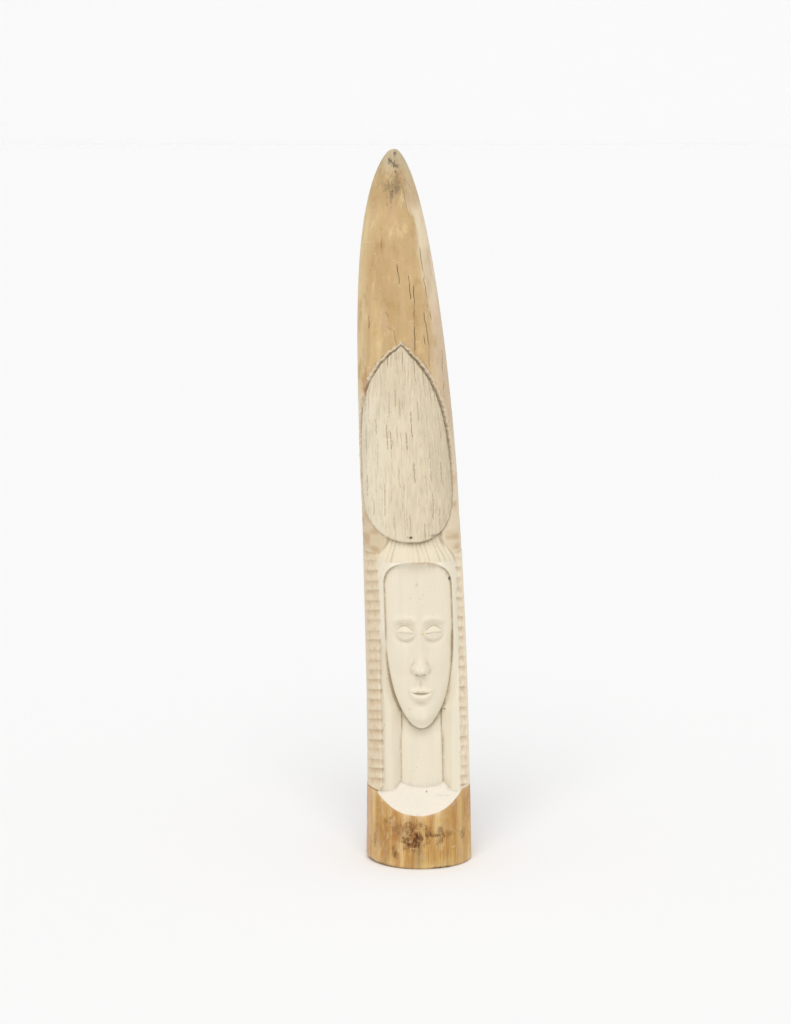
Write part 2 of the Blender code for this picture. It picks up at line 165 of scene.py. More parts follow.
# Stains and specks: place, half the width and height, all in millimetres, and strength
FOOT_STAINS = (
    (-1.4, -22.5, 13.6, 3.5, 5.2, 1.0), (-7.0, -21.6, 13.0, 1.8, 3.0, 0.85),
    (4.2, -22.2, 17.6, 1.5, 4.6, 0.70), (7.2, -21.6, 16.9, 3.4, 0.9, 0.66),
    (10.6, -20.4, 16.4, 1.6, 5.2, 0.62), (14.4, -18.6, 16.8, 3.8, 1.8, 0.42),
    (21.0, -12.6, 15.0, 1.2, 2.8, 0.50), (-11.6, -20.0, 8.0, 1.4, 3.0, 0.72),
    (-8.6, -21.0, 19.4, 5.4, 3.6, 0.45), (-2.4, -22.4, 21.4, 4.2, 2.8, 0.45),
    (-13.6, -19.0, 24.8, 1.1, 1.0, 0.50), (-16.4, -17.2, 23.0, 0.8, 1.0, 0.40),
    (-21.5, -11.0, 11.5, 0.9, 2.4, 0.45), (10.5, -20.4, 0.6, 5.0, 0.6, 0.90),
)
TIP_STAINS = (
    (-11.9, 6.5, 343.0, 1.0, 1.5, 0.85), (-14.0, 5.6, 339.6, 1.3, 1.3, 0.85),
    (-12.3, 4.6, 338.0, 1.2, 1.5, 0.80), (-10.6, 4.2, 337.0, 0.9, 1.1, 0.75),
    (-11.7, 3.4, 334.4, 0.8, 0.9, 0.65), (-13.8, 1.5, 326.8, 3.4, 2.4, 0.34),
    (-10.8, 2.2, 329.4, 2.6, 3.6, 0.32), (-13.4, 1.0, 323.0, 0.7, 3.4, 0.40),
    (-12.0, 3.0, 328.0, 6.5, 6.5, 0.24),
)
YELLOW_SPECKS = (
    (-4.4, -14.8, 132.8, 0.6, 0.8, 0.75), (-4.4, -15.1, 122.6, 0.9, 0.5, 0.40),
    (1.4, -15.3, 115.2, 0.8, 0.8, 0.80),
)
DARK_SPECKS = (
    (14.3, -8.2, 141.5, 0.45, 0.9, 0.80), (-4.4, -14.0, 162.6, 1.15, 0.65, 1.0),
    (-2.0, -14.0, 160.3, 3.6, 0.35, 0.40), (6.5, -13.0, 163.2, 2.6, 0.6, 0.45),
    (-8.3, -10.0, 247.0, 0.22, 4.0, 0.55), (12.2, -9.9, 76.9, 0.40, 0.40, 0.75),
    (3.5, -15.1, 36.4, 0.40, 0.40, 0.85), (13.0, -13.0, 35.0, 5.0, 0.30, 0.13),
)
BACK_LINES = (
    (-14.0, 22.0, 280.0, 0.20, 17.0, 0.50), (-6.0, 23.0, 250.0, 0.18, 21.0, 0.45),
    (3.0, 22.5, 180.0, 0.18, 24.0, 0.45), (-9.0, 21.5, 130.0, 0.20, 17.0, 0.40),
    (10.0, 20.0, 80.0, 0.18, 20.0, 0.40),
)
WARM_PATCHES = (
    (-26.0, -4.0, 235.0, 1.6, 6.5, 0.55), (-6.0, -21.0, 17.5, 13.0, 6.5, 0.42),
    (9.0, -20.0, 17.0, 8.0, 5.0, 0.10), (-18.0, -14.0, 14.0, 3.5, 12.0, 0.35),
    (-1.5, -14.6, 139.1, 0.8, 1.1, 0.28),
)
STAIN_REACH_BACK = 12 * MM
# What the stains are dyed with, as on a screen, in the order in which they lie over each other
DYES = (
    (WARM_PATCHES, (164, 112, 62)),
    (FOOT_STAINS, (90, 48, 4)),
    (TIP_STAINS, (98, 80, 56)),
    (YELLOW_SPECKS, (222, 206, 120)),
    (DARK_SPECKS, (62, 48, 34)),
    (BACK_LINES, (84, 62, 42)),
)


def from_screen(red, green, blue):
    """A colour given as 0 to 255 on a screen, as the linear values that a shader takes."""
    share = np.array([red, green, blue]) / 255
    return tuple(np.where(share < 0.04045, share / 12.92, ((share + 0.055) / 1.055) ** 2.4))


# Settings that a user would change

def colour_setting(name, description, screen):
    return FloatVectorProperty(
        name=name, description=description, default=from_screen(*screen),
        size=3, min=0.0, max=1.0, subtype="COLOR",
    )


def number_setting(name, description, default, least=0.0):
    return FloatProperty(name=name, description=description, default=default, min=least)


def length_setting(name, description, default):
    return FloatProperty(
        name=name, description=description, default=default, min=0.0, unit="LENGTH", subtype="DISTANCE"
    )


def angle_setting(name, description, degrees):
    return FloatProperty(
        name=name, description=description, default=math.radians(degrees), unit="ROTATION", subtype="ANGLE"
    )


class TuskSettings(bpy.types.PropertyGroup):
    notch_pitch: length_setting("Notch Pitch", "Height from one border notch to the next", 4.9 * MM)
    notch_depth: length_setting("Notch Depth", "Depth of the border notches", 0.6 * MM)
    gouge_length: length_setting("Gouge Length", "Height within which each gouge stroke lies", 20.0 * MM)
    gouge_depth: length_setting("Gouge Depth", "Depth of the gouge strokes in the hairdo", 0.2 * MM)
    gouge_spacing: length_setting("Gouge Spacing", "From one column of gouge strokes to the next", 3.0 * MM)
    crack_depth: length_setting("Crack Depth", "Depth of the drying cracks", 0.35 * MM)
    seed: IntProperty(name="Seed", description="Changes the notches and stroke columns", default=7, min=0)
    rind_colour: colour_setting("Rind", "The tusk's own polished outside", (203, 172, 124))
    foot_colour: colour_setting("Foot", "The handled, browner rind round the foot", (199, 154, 85))
    cut_colour: colour_setting("Cut Ivory", "Ivory laid bare in the niche", (234, 224, 202))
    chest_colour: colour_setting("Chest", "The palest cut, on the sloping chest", (233, 224, 208))
    hairdo_colour: colour_setting("Hairdo", "The gouged hairdo", (224, 210, 182))
    border_colour: colour_setting("Border", "The notched borders", (229, 212, 183))
    # This colour is laid in the recesses both as dirt and as painted shade
    dirt_and_shade_colour: colour_setting("Dirt And Shade", "Dirt held in the recesses", (160, 141, 107))
    crack_colour: colour_setting("Crack", "The inside of the drying cracks", (84, 62, 42))


class StageSettings(bpy.types.PropertyGroup):
    floor_colour: colour_setting("Floor", "The pale floor", (249, 249, 249))
    wall_colour: colour_setting("Wall", "The low wall far behind", (247, 247, 247))
    camera_distance: length_setting("Camera Distance", "From the camera to the tusk's middle", 1.25)
    camera_pitch: angle_setting("Camera Pitch", "How far the camera looks down", 9.5)
    lens: number_setting("Lens", "Focal length in millimetres", 91.2, least=1.0)
    room_light: number_setting("Room Light", "Even light from all round", 0.66)
    key_strength: number_setting("Key Light", "Strength of the soft key light", 1.3)
    key_softness: angle_setting("Key Softness", "How wide the key light looks from the tusk", 35)
    key_height: angle_setting("Key Height", "How high the key light stands", 56)
    key_side: angle_setting("Key Side", "How far the key light stands to the right; less than 0 is left", -6)


# Small shaping functions

def smooth(value, low, high):
    """0 below low, 1 above high and an even S between them; it runs backwards if low > high."""
    share = np.clip((value - low) / (high - low), 0.0, 1.0)
    return share * share * (3.0 - 2.0 * share)


def past(z, line, low, high):
    """The same even S, between two heights that are given in millimetres above a line."""
    return smooth(z, line + low * MM, line + high * MM)


def mound(across, up, half_width, half_height):
    """A round mound, 1 at its centre and 0 from its rim outwards."""
    reach = (across / half_width) ** 2 + (up / half_height) ** 2
    return np.clip(1.0 - reach, 0.0, 1.0) ** 1.5


def ridge(distance, half_width):
    """The rounded cross-section of a ridge or groove, 1 on its line."""
    return np.exp(-((distance / half_width) ** 2))


def uneven(across, up, seed):
    """Smooth random relief between -1 and 1, with bumps one unit apart."""
    table = np.random.default_rng(seed).uniform(-1.0, 1.0, (61, 61))
    column, row = np.floor(across).astype(int), np.floor(up).astype(int)
    right, above = smooth(across - column, 0.0, 1.0), smooth(up - row, 0.0, 1.0)

    def knot(k, j):
        return table[(column + k) % 61, (row + j) % 61]

    low = knot(0, 0) * (1.0 - right) + knot(1, 0) * right
    high = knot(0, 1) * (1.0 - right) + knot(1, 1) * right
    return low * (1.0 - above) + high * above


def blurred(field, reach):
    """The field averaged over the cells around each cell."""
    for axis in (0, 1, 0, 1):
        field = sum(np.roll(field, shift, axis) for shift in range(-reach, reach + 1))
        field = field / (2 * reach + 1)
    return field


# The tusk's own form

def half_width(z):
    """Half the tusk's width at a height: an even taper to a blunt tip, and a slight flare at the foot."""
    below_tip = np.maximum(HEIGHT - z, 0.0)
    reach = np.sqrt(below_tip**2 + 2.0 * TIP_BLUNTNESS * below_tip)
    taper = 1.0 - np.exp(-((reach / TAPER_LENGTH) ** TAPER_POWER))
    flare = BASE_FLARE * np.exp(-np.maximum(z, 0.0) / FLARE_HEIGHT)
    return BASE_WIDTH / 2 * taper + flare * taper


def half_depth(z):
    return half_width(z) * BASE_DEPTH / BASE_WIDTH


def centre_x(z):
    """The tusk's middle swings to the left on its way up, and straightens again near the tip."""
    rise = np.clip(z / HEIGHT, 0.0, 1.0)
    return -SWEEP_TO_LEFT * (rise**2 - TIP_STRAIGHTENING * rise**10)


def centre_y(z):
    return SWEEP_TO_BACK * np.clip(z / HEIGHT, 0.0, 1.0) ** 2


def figure_x(z):
    """The line that the figure is carved about: beside the tusk's middle low down, on it at the top."""
    return centre_x(z) + FIGURE_SHIFT * smooth(z, HAIRDO_WIDEST, HAIRLINE)


def natural_depth(across, z):
    """How far the tusk's own front lies behind its foremost line, at a distance from its middle."""
    side = np.clip(np.abs(across) / half_width(z), 0.0, 0.999)
    return half_depth(z) * (1.0 - np.sqrt(1.0 - side**2))


# The face, on the proportions of a drawing book: forehead, nose and chin take about a third of the
# face's height each, the mouth lies a third of the way below the nose, and the eyes are set out in
# fifths of the face's width; each eye is a little wider than one fifth

HEAD = HAIRLINE - CHIN
EYE = HEAD_WIDTH / 5
EYE_LINE = CHIN + 0.58 * HEAD
BROW_LINE = CHIN + 0.655 * HEAD
NOSE_FOOT = CHIN + 0.33 * HEAD
MOUTH_LINE = CHIN + 0.22 * HEAD
TEMPLE_LINE = CHIN + 0.64 * HEAD
BRIDGE_RISE = 2.6 * MM
NOSE_TIP_RISE = 1.3 * MM
NOSE_WING_RISE = 1.3 * MM
NOSTRIL_DEPTH = 0.6 * MM
SOCKET_DEPTH = 1.4 * MM
EYEBALL_RISE = 2.1 * MM
UPPER_LID = 0.42 * MM
LOWER_LID = 0.34 * MM
LID_EDGE = 0.22 * MM
FOLD_DEPTH = 0.45 * MM
BROW_RISE = 0.75 * MM
UPPER_LIP_RISE = 1.6 * MM
LOWER_LIP_RISE = 1.8 * MM
LIP_LINE_DEPTH = 0.7 * MM
CHIN_RISE = 1.0 * MM
CHEEK_RISE = 0.8 * MM


def face_outline(z):
    """Half the face's width at a height: an egg below, and round corners up to the straight hairline."""
    up = np.clip((z - HAIRLINE + HAIRLINE_CORNER) / HAIRLINE_CORNER, 0.0, 1.0)
    down = np.clip((TEMPLE_LINE - z) / (TEMPLE_LINE - CHIN), 0.0, 1.0)
    crown = (1.0 - up**2.8) ** (1 / 2.8)
    jaw = (1.0 - down**2.3) ** (1 / 1.9)
    return HEAD_WIDTH / 2 * crown * jaw


def square_distance(beyond, z):
    """How far points lie outside an outline, square to it, from how far they lie beyond it on the level."""
    step = 0.05 * MM
    slope = np.abs(beyond(z + step) - beyond(z - step)) / (2 * step)
    return beyond(z) / np.sqrt(1.0 + np.minimum(slope, 8.0) ** 2)


def inside_face(u, z):
    """1 inside the face's outline and 0 outside it, with a wall as wide as the edges are soft."""

    def beyond(z):
        past_ends = np.maximum(CHIN - z, 0.0) + np.maximum(z - HAIRLINE, 0.0)
        return np.abs(u) - face_outline(z) + past_ends

    return smooth(square_distance(beyond, z), EDGE_SOFTNESS / 2, -EDGE_SOFTNESS / 2)


def nose_height(u, z):
    """The nose: a bridge that widens and rises to a round tip, with a wing and a nostril on each side."""
    up = z - NOSE_FOOT
    along = np.clip(up / (BROW_LINE - NOSE_FOOT), 0.0, 1.0)
    bridge_rise = 0.5 * MM + BRIDGE_RISE * (1.0 - along) ** 0.9
    bridge_half = EYE * (0.32 + 0.17 * (1.0 - along))
    lower_edge = NOSE_FOOT + 0.08 / MM * u**2
    foot = smooth(z, lower_edge - 0.6 * MM, lower_edge + 2.2 * MM)
    bridge = bridge_rise * foot * ridge(u, bridge_half) * smooth(along, 1.0, 0.8)
    tip = NOSE_TIP_RISE * mound(u, up - 3.4 * MM, 0.56 * EYE, 4.6 * MM)
    wings = NOSE_WING_RISE * mound(np.abs(u) - 0.38 * EYE, up - 2.4 * MM, 0.36 * EYE, 3.6 * MM)
    nostrils = -NOSTRIL_DEPTH * mound(np.abs(u) - 1.8 * MM, up - 0.2 * MM, 1.2 * MM, 0.8 * MM)
    return bridge + tip + wings + nostrils


def eye_relief(u, z):
    """A hollow socket, a round ball between two lids, the fold above it and the brow's soft arch."""
    across = np.abs(u) - EYE * 1.05
    up = z - EYE_LINE - 0.06 * across
    span = np.clip(1.0 - (across / (EYE * 0.62)) ** 2, 0.0, 1.0)
    near = smooth(np.abs(across), EYE * 0.66, EYE * 0.54)
    socket = -SOCKET_DEPTH * mound(across, up - 0.6 * MM, EYE * 1.05, 7.6 * MM)
    ball = EYEBALL_RISE * mound(across, up, EYE * 0.80, 4.6 * MM)
    upper_edge = up - 0.5 * MM * span
    lower_edge = -up - 2.2 * MM * span
    fold_line = up - (2.5 * span + 0.9) * MM
    lid = UPPER_LID * smooth(upper_edge, -LID_EDGE, LID_EDGE)
    lid = lid * smooth(fold_line, 0.2 * MM, -0.5 * MM) * near
    under = LOWER_LID * smooth(lower_edge, -LID_EDGE, LID_EDGE)
    under = under * smooth(lower_edge, 1.8 * MM, 0.7 * MM) * near
    lash_line = -LID_EDGE * ridge(upper_edge + 0.3 * MM, 0.3 * MM) * near
    fold = -FOLD_DEPTH * ridge(fold_line, 0.42 * MM) * smooth(span, 0.0, 0.25)
    brow_top = BROW_LINE + 0.7 * MM - 0.040 / MM * across**2
    brow = BROW_RISE * ridge(z - brow_top, 1.6 * MM) * smooth(np.abs(across), EYE, EYE * 0.6)
    return socket + ball + lid + under + lash_line + fold + brow


def mouth_relief(u, z):
    """Two full lips that meet in a line, a small hollow under the nose and one over the chin."""
    up = z - MOUTH_LINE
    half = EYE * 0.85
    taper = np.clip(1.0 - (u / half) ** 2, 0.0, 1.0)
    bow = 0.4 * MM * ridge(np.abs(u) - 1.4 * MM, 0.9 * MM)
    upper = UPPER_LIP_RISE * ridge(up - (1.4 * MM + bow) * taper**0.5, 1.35 * MM) * taper**0.6
    lower = LOWER_LIP_RISE * ridge(up + 2.0 * MM * taper**0.5, 1.6 * MM) * taper**0.7
    line = -LIP_LINE_DEPTH * ridge(up + 0.35 * MM * np.cos(u / half * math.pi), 0.45 * MM)
    line = line * smooth(np.abs(u), half * 1.1, half * 0.8)
    philtrum = -0.35 * MM * mound(u, up - 5.2 * MM, 1.2 * MM, 2.6 * MM)
    under_lip = -0.6 * MM * mound(u, up + 5.6 * MM, 4.6 * MM, 2.4 * MM)
    return upper + lower + line + philtrum + under_lip


def face_depth(u, z):
    """Depth of the face behind the tusk's foremost line."""
    q = (z - CHIN) / HEAD
    plane = FOREHEAD_DEPTH + (CHEEK_DEPTH - FOREHEAD_DEPTH) * smooth(q, 0.66, 0.48)
    drop = FOREHEAD_EDGE_DROP + (JAW_EDGE_DROP - FOREHEAD_EDGE_DROP) * smooth(q, 0.62, 0.35)
    drop = drop + RIGHT_EDGE_DROP * (u > 0)
    half = np.where(z > TEMPLE_LINE, HEAD_WIDTH / 2, np.maximum(face_outline(z), 0.2 * HEAD_WIDTH))
    side = np.clip(np.abs(u) / half, 0.0, 1.0)
    rounded = drop * (1.0 - (1.0 - side**2.2) ** 0.62) + 2.6 * MM * smooth(q, 0.075, -0.02)
    chin = CHIN_RISE * mound(u, z - (CHIN + 0.075 * HEAD), 6.0 * MM, 5.2 * MM)
    cheeks = CHEEK_RISE * mound(np.abs(u) - 8.4 * MM, z - (CHIN + 0.42 * HEAD), 5.6 * MM, 9.5 * MM)
    raised = nose_height(u, z) + eye_relief(u, z) + mouth_relief(u, z) + chin + cheeks
    return plane + FACE_TURN * u + rounded - raised * smooth(side, 1.0, 0.8)


# What stands round the face

def neck_depth(u, z):
    side = np.clip(np.abs(u) / (NECK_WIDTH / 2 + 0.3 * MM), 0.0, 0.999)
    under_chin = 1.2 * MM * past(z, CHIN, -9, 2)
    return NECK_DEPTH + under_chin + NECK_ROUNDING * (1.0 - np.sqrt(1.0 - side**2))


def side_hair_depth(u, across, z):
    """Hair that falls past face and neck: a flat strand on each side, with a groove along its inside."""
    inner = np.maximum(face_outline(z) * (z > CHIN), NECK_WIDTH / 2)
    q = (z - CHIN) / HEAD
    sunk = SIDE_HAIR_DEPTH * smooth(q, 0.85, 0.40)
    outer = np.maximum(natural_depth(across, z) + SIDE_HAIR_STEP, sunk)
    groove = outer + np.maximum(GROOVE_DEPTH - outer, 0.0) * smooth(q, 0.55, 0.05)
    return groove + (outer - groove) * smooth(np.abs(u), inner - 0.6 * MM, inner + SIDE_HAIR_SLOPE)


def chest_depth(u, z):
    """The sloping chest, very slightly hollow, as a knife leaves it."""
    slope = (z - CHEST_LIP) / math.tan(math.radians(CHEST_SLOPE_DEG))
    hollow = 0.35 * MM * smooth(np.abs(u), 20 * MM, 4 * MM)
    return slope + hollow * past(z, CHEST_LIP, 0, 4)


def niche_depth(u, across, z):
    """Depth of all that is carved in the niche; the parts that stand forward hide the others."""
    neck = (np.abs(u) < NECK_WIDTH / 2) & (z < CHIN + 0.3 * HEAD)
    around = np.where(neck, neck_depth(u, z), side_hair_depth(u, across, z))
    around = around + 0.16 * MM * uneven(u / (1.7 * MM), z / (16 * MM), 11)
    face = face_depth(u, z) + 0.07 * MM * uneven(u / (3 * MM), z / (5 * MM), 12)
    figure = around + (face - around) * inside_face(u, z)
    return np.minimum(figure, chest_depth(u, z) + 0.05 * MM * uneven(u / (5 * MM), z / (2 * MM), 13))


def niche_half_width(z):
    foot = past(z, BORDER_BOTTOM, 2, -2)
    return NICHE_WIDTH / 2 + NICHE_FOOT_WIDENING * foot


# What is cut into the tusk's own round surface

def hairdo_edge(z, widest):
    """Half the angle that the hairdo spans: an arch of two arcs above, half an oval below."""
    up = np.clip((z - HAIRDO_WIDEST) / (ARCH_PEAK - HAIRDO_WIDEST), 0.0, 1.0)
    down = np.clip((HAIRDO_WIDEST - z) / (HAIRDO_WIDEST - HAIRDO_BOTTOM), 0.0, 1.0)
    lean = math.radians(60.0)
    arc = np.cos(np.arcsin(up * math.sin(lean)))
    arch = (arc - math.cos(lean)) / (1.0 - math.cos(lean))
    fullness = np.where(widest < math.radians(75), 2.9, 2.2)
    oval = np.sqrt(np.clip(1.0 - down**fullness, 0.0, 1.0))
    return widest * np.where(z > HAIRDO_WIDEST, arch, oval)


def beyond_hairdo(angle, z):
    """Distance outside the hairdo's edge, along the surface; it is negative inside."""
    widest = np.where(angle < 0, math.radians(HAIRDO_LEFT_DEG), math.radians(HAIRDO_RIGHT_DEG))

    def beyond(z):
        past_ends = np.maximum(z - ARCH_PEAK, 0.0) + np.maximum(HAIRDO_BOTTOM - z, 0.0)
        return half_width(z) * (np.abs(angle) - hairdo_edge(z, widest)) + past_ends

    across = angle * half_width(z)
    shaky = 0.28 * uneven(across / (2.6 * MM), z / (2.6 * MM), 21)
    shaky = shaky + 0.30 * uneven(across / MM, z / MM, 26)
    upper = past(z, HAIRDO_WIDEST, -12, 6)
    return square_distance(beyond, z) + shaky * MM * (0.4 + 0.6 * upper)


def hair_band_cut(angle, z):
    """Hair that fans down from under the hairdo to the hairline, and how deep each point is in a valley,
    which the material darkens as painted shade.
    """
    up = (z - HAIRLINE) / (HAIRDO_BOTTOM - HAIRLINE)
    depth = HAIR_BAND_LIFT + (HAIR_BAND_DEPTH - HAIR_BAND_LIFT) * smooth(up, 0.0, 1.1)
    depth = depth * (0.3 + 0.7 * past(z, HAIRLINE, -10, 0))
    spread = np.arctan2(angle * half_width(z), HAIRDO_WIDEST - z)
    wave = 0.6 + 0.4 * uneven(spread * STRAND_COUNT / 5, z / (9 * MM), 22)
    sway = 0.5 * uneven(spread * 14, z / (8 * MM), 28)
    strands = 0.7 * np.cos(STRAND_COUNT * spread + sway * math.pi) * wave
    strands = strands + 0.6 * uneven(spread * 30, z / (30 * MM), 23)
    valley_shade = smooth(strands, 0.15, 1.0) * past(z, HAIRLINE, -1, 1)
    return depth + STRAND_DEPTH * strands * past(z, HAIRLINE, -4, 0), valley_shade


def flank_cut(angle, z):
    """The plain slopes beside the hairdo's lower half, with short level strokes of the knife."""
    flank = 0.25 + 0.75 * smooth(np.abs(angle), math.radians(85), math.radians(45))
    strokes = 0.16 * MM * uneven(angle * 2.2, z / (2.3 * MM), 24)
    return SHOULDER_CUT * flank + strokes * past(z, HAIRDO_WIDEST, -6, -22)


def surface_cut(angle, u, z):
    """Depth cut off the tusk's own surface, square to it, and where each kind of cut lies."""
    soft = EDGE_SOFTNESS / 2
    across = angle * half_width(z)
    beyond = beyond_hairdo(angle, z)
    front = smooth(np.abs(angle), math.radians(104), math.radians(96))
    below = past(z, HAIRDO_WIDEST, 0, -26)
    on_arch = past(z, HAIRDO_WIDEST, -8, 6)
    under_top = past(z, BORDER_TOP, 1.4, -1.4)
    above_foot = smooth(z, BORDER_BOTTOM - soft, BORDER_BOTTOM + soft)

    # The borders, the slopes above them and the hair band between
    band_half = NICHE_WIDTH / 2 - 5.0 * MM * smooth(z, HAIRLINE, HAIRDO_BOTTOM + 2 * MM)
    in_band = smooth(np.abs(u), band_half + soft, band_half - soft) * (np.abs(angle) < math.pi / 2)
    sides = (BORDER_CUT * under_top + flank_cut(angle, z) * (1.0 - under_top)) * front * below
    band_cut, valley_shade = hair_band_cut(angle, z)
    cut = (sides + (band_cut - sides) * in_band * below) * above_foot

    # The arch's rim, a rough bead
    rough = uneven(across / (1.1 * MM), z / (1.1 * MM), 25)
    bead = -0.26 * MM * (1.0 + 1.2 * rough) * ridge(beyond - 0.6 * ARCH_RIM_WIDTH, 0.36 * ARCH_RIM_WIDTH)
    rim = 0.55 * MM * (0.8 + 0.5 * rough) * smooth(beyond, ARCH_RIM_WIDTH, 0.0)
    cut = np.maximum(cut, rim) + bead * on_arch

    # The seam round the hairdo, deepest on the right, and the hairdo within it
    right = smooth(angle, math.radians(-12), math.radians(18))
    broken = smooth(0.5 + 0.5 * uneven(angle * 9, z / (5 * MM), 27), 0.45, 0.8)
    seam = 0.25 + 0.75 * np.maximum(right, broken)
    seam = seam * ridge(beyond + 0.22 * MM, (0.34 + 0.34 * right) * MM) * (0.45 + 0.55 * on_arch)
    rounding = 0.8 * MM * smooth(beyond, -HAIRDO_EDGE_ROUND, 0.0) * below
    hollow = HAIRDO_SINK * (0.35 + 0.65 * smooth(beyond, -9 * MM, -1 * MM)) * (1.0 - 0.6 * below)
    inside = smooth(beyond, soft / 2, -soft / 2)
    cut = cut + (hollow + rounding - cut) * inside + 0.65 * MM * seam

    ragged = smooth(uneven(across / (0.9 * MM), z / (0.9 * MM), 29), -0.1, 0.5)
    # A ragged line just outside the rim, darkened as painted shade on the rim's outer side
    painted_shade_outside_rim = ridge(beyond - 1.05 * ARCH_RIM_WIDTH, 0.28 * MM) * ragged * on_arch
    flank = front * past(z, HAIRDO_WIDEST, 0, -8) * (1.0 - under_top)
    # The seam zone is painted shade along the seam and outside the rim; the strand zone is painted shade in
    # the strand valleys
    zones = {
        "hairdo": inside,
        "band": in_band * (1.0 - inside) * past(z, HAIRLINE, -9, 0) * below,
        "border": front * under_top * above_foot * (1.0 - in_band),
        "flank": flank * (1.0 - inside) * (1.0 - in_band),
        "rim": smooth(beyond, ARCH_RIM_WIDTH, 0.7 * ARCH_RIM_WIDTH) * (1.0 - inside) * on_arch,
        "seam": np.maximum(seam * (0.6 + 0.4 * ragged), 0.7 * painted_shade_outside_rim * smooth(np.abs(angle), 1.55, 1.3)),
        "strand": valley_shade * in_band * (1.0 - inside) * below,
    }
    return cut, zones


# The surface as rows and columns of points, with what is known at each point

def column_angles():
    """Angles round the tusk from its front line: close together over the carving, wide behind."""
    edge = 0.91
    behind = math.radians(108)
    front = np.arcsin(np.linspace(-edge, edge, round(edge * BASE_WIDTH / CELL)))
    side = np.linspace(front[-1], behind, 44)[1:]
    back = np.linspace(behind, 2 * math.pi - behind, 46)[1:-1]
    return np.concatenate([front, side, back, 2 * math.pi - side[::-1]])


def row_heights():
    """Heights from the foot to just under the tip: closest over the carving."""
    rounded = WORN_FOOT + WORN_CORNER
    worn = rounded * (1.0 - np.cos(np.linspace(0.0, math.pi / 2, 12)))[:-1]
    foot = np.arange(rounded, CHEST_LIP - 2 * MM, 0.55 * MM)
    carved = np.arange(CHEST_LIP - 2 * MM, ARCH_PEAK + 4 * MM, CELL)
    top = carved[-1]
    share = np.linspace(0.0, 1.0, 210, endpoint=False)[1:]
    tip = top + (HEIGHT - top) * (1.0 - (1.0 - share) ** 1.35)
    return np.concatenate([worn, foot, carved, tip])


def rind_wear(signed, z):
    """How far the tusk's own surface is worn: rounded round the foot, and faintly wavy all over."""
    at_corner = ridge(signed - math.radians(WORN_CORNER_DEG), math.radians(34))
    reach = WORN_FOOT + WORN_CORNER * at_corner + 0.5 * MM * (0.5 + 0.5 * uneven(signed * 6, z * 0.0, 33))
    worn = reach * (1.0 - np.sqrt(1.0 - np.clip(1.0 - z / reach, 0.0, 1.0) ** 2))
    wave = 0.06 * MM * uneven(signed * 9, z / (22 * MM), 31)
    wave = wave + 0.03 * MM * uneven(signed * 26, z / (14 * MM), 32)
    return worn, np.abs(wave) * smooth(HEIGHT - z, 0.0, 6 * MM)


def carved_surface():
    """The tusk's points; its zones and recesses, from 0 to 1; and the places along and across it."""
    angle, z = np.meshgrid(column_angles(), row_heights())
    signed = (angle + math.pi) % (2 * math.pi) - math.pi
    a, b = half_width(z), half_depth(z)
    normal = np.stack([np.sin(signed) * b, -np.cos(signed) * a])
    normal /= np.linalg.norm(normal, axis=0)
    x = centre_x(z) + a * np.sin(signed)
    y = centre_y(z) - b * np.cos(signed)
    cut, zones = surface_cut(signed, x - figure_x(z), z)
    worn, wave = rind_wear(signed, z)
    cut = cut + worn + wave
    x, y = x - normal[0] * cut, y - normal[1] * cut

    # The niche is cut straight back from the front
    u, across = x - figure_x(z), x - centre_x(z)
    half = niche_half_width(z)
    soft = EDGE_SOFTNESS / 2
    in_niche = smooth(np.abs(u), half + soft, half - soft)
    in_niche *= (z < HAIRLINE) & (z > CHEST_LIP) & (np.cos(signed) > 0)
    niche = niche_depth(u, across, z)
    deeper = np.maximum(centre_y(z) - b + niche - y, 0.0) * in_niche
    y = y + deeper
    laid_bare = smooth(deeper, 0.02 * MM, 0.25 * MM)
    laid_bare = np.maximum(laid_bare, in_niche * past(z, BORDER_BOTTOM, -0.5, 1))
    zones["niche"] = laid_bare
    zones["chest"] = laid_bare * (niche > chest_depth(u, z) - 0.3 * MM) * (z < BORDER_BOTTOM + 6 * MM)
    zones["border"] = zones["border"] * (1.0 - laid_bare)
    zones["band"] = zones["band"] * (1.0 - laid_bare)

    # Where the notches may lie: the borders, up to an uneven line beside the niche
    inner = half - 0.9 * MM * (0.5 + 0.5 * uneven(signed * 0.0 + np.sign(u), z / (2.4 * MM), 44))
    on_border = smooth(np.abs(u), inner - 0.15 * MM, inner + 0.15 * MM)
    on_border = on_border * (z < BORDER_TOP) * (np.cos(signed) > 0.05)
    side = np.abs(across) / a
    zones["notched"] = on_border * past(z, BORDER_BOTTOM, 0, 1) * smooth(side, 0.995, 0.92)

    # Dirt and painted shade lie in the recesses, and the edges beside them are rubbed pale and carry a
    # painted highlight
    depth = cut + deeper
    recess = depth - blurred(depth, 4)
    beside = ridge(np.abs(u) - half, 1.4 * MM) * (z < HAIRLINE - 12 * MM)
    under_hairline = ridge(z - HAIRLINE, 2.2 * MM) * smooth(np.abs(u), 15 * MM, 11 * MM)
    zones["dirt_and_shade"] = smooth(recess, 0.06 * MM, 0.75 * MM) * (1.0 - 0.85 * beside)
    zones["dirt_and_shade"] *= 1.0 - 0.65 * under_hairline
    zones["edge"] = smooth(-recess, 0.08 * MM, 0.7 * MM)

    # What is left is the tusk's own rind, thinner on the pale strip
    carved = sum(zones[name] for name in ("hairdo", "band", "border", "flank", "niche", "rim"))
    on_strip = smooth(x - strip_edge(z), 0.0, 1.5 * MM) * (z > STRIP_RIND_FROM)
    zones["rind"] = (1.0 - np.clip(carved, 0.0, 1.0)) * (1.0 - 0.65 * on_strip)
    zones["along"] = z
    zones["across"] = signed * BASE_WIDTH / 2
    return np.stack([x, y, z], axis=-1), zones


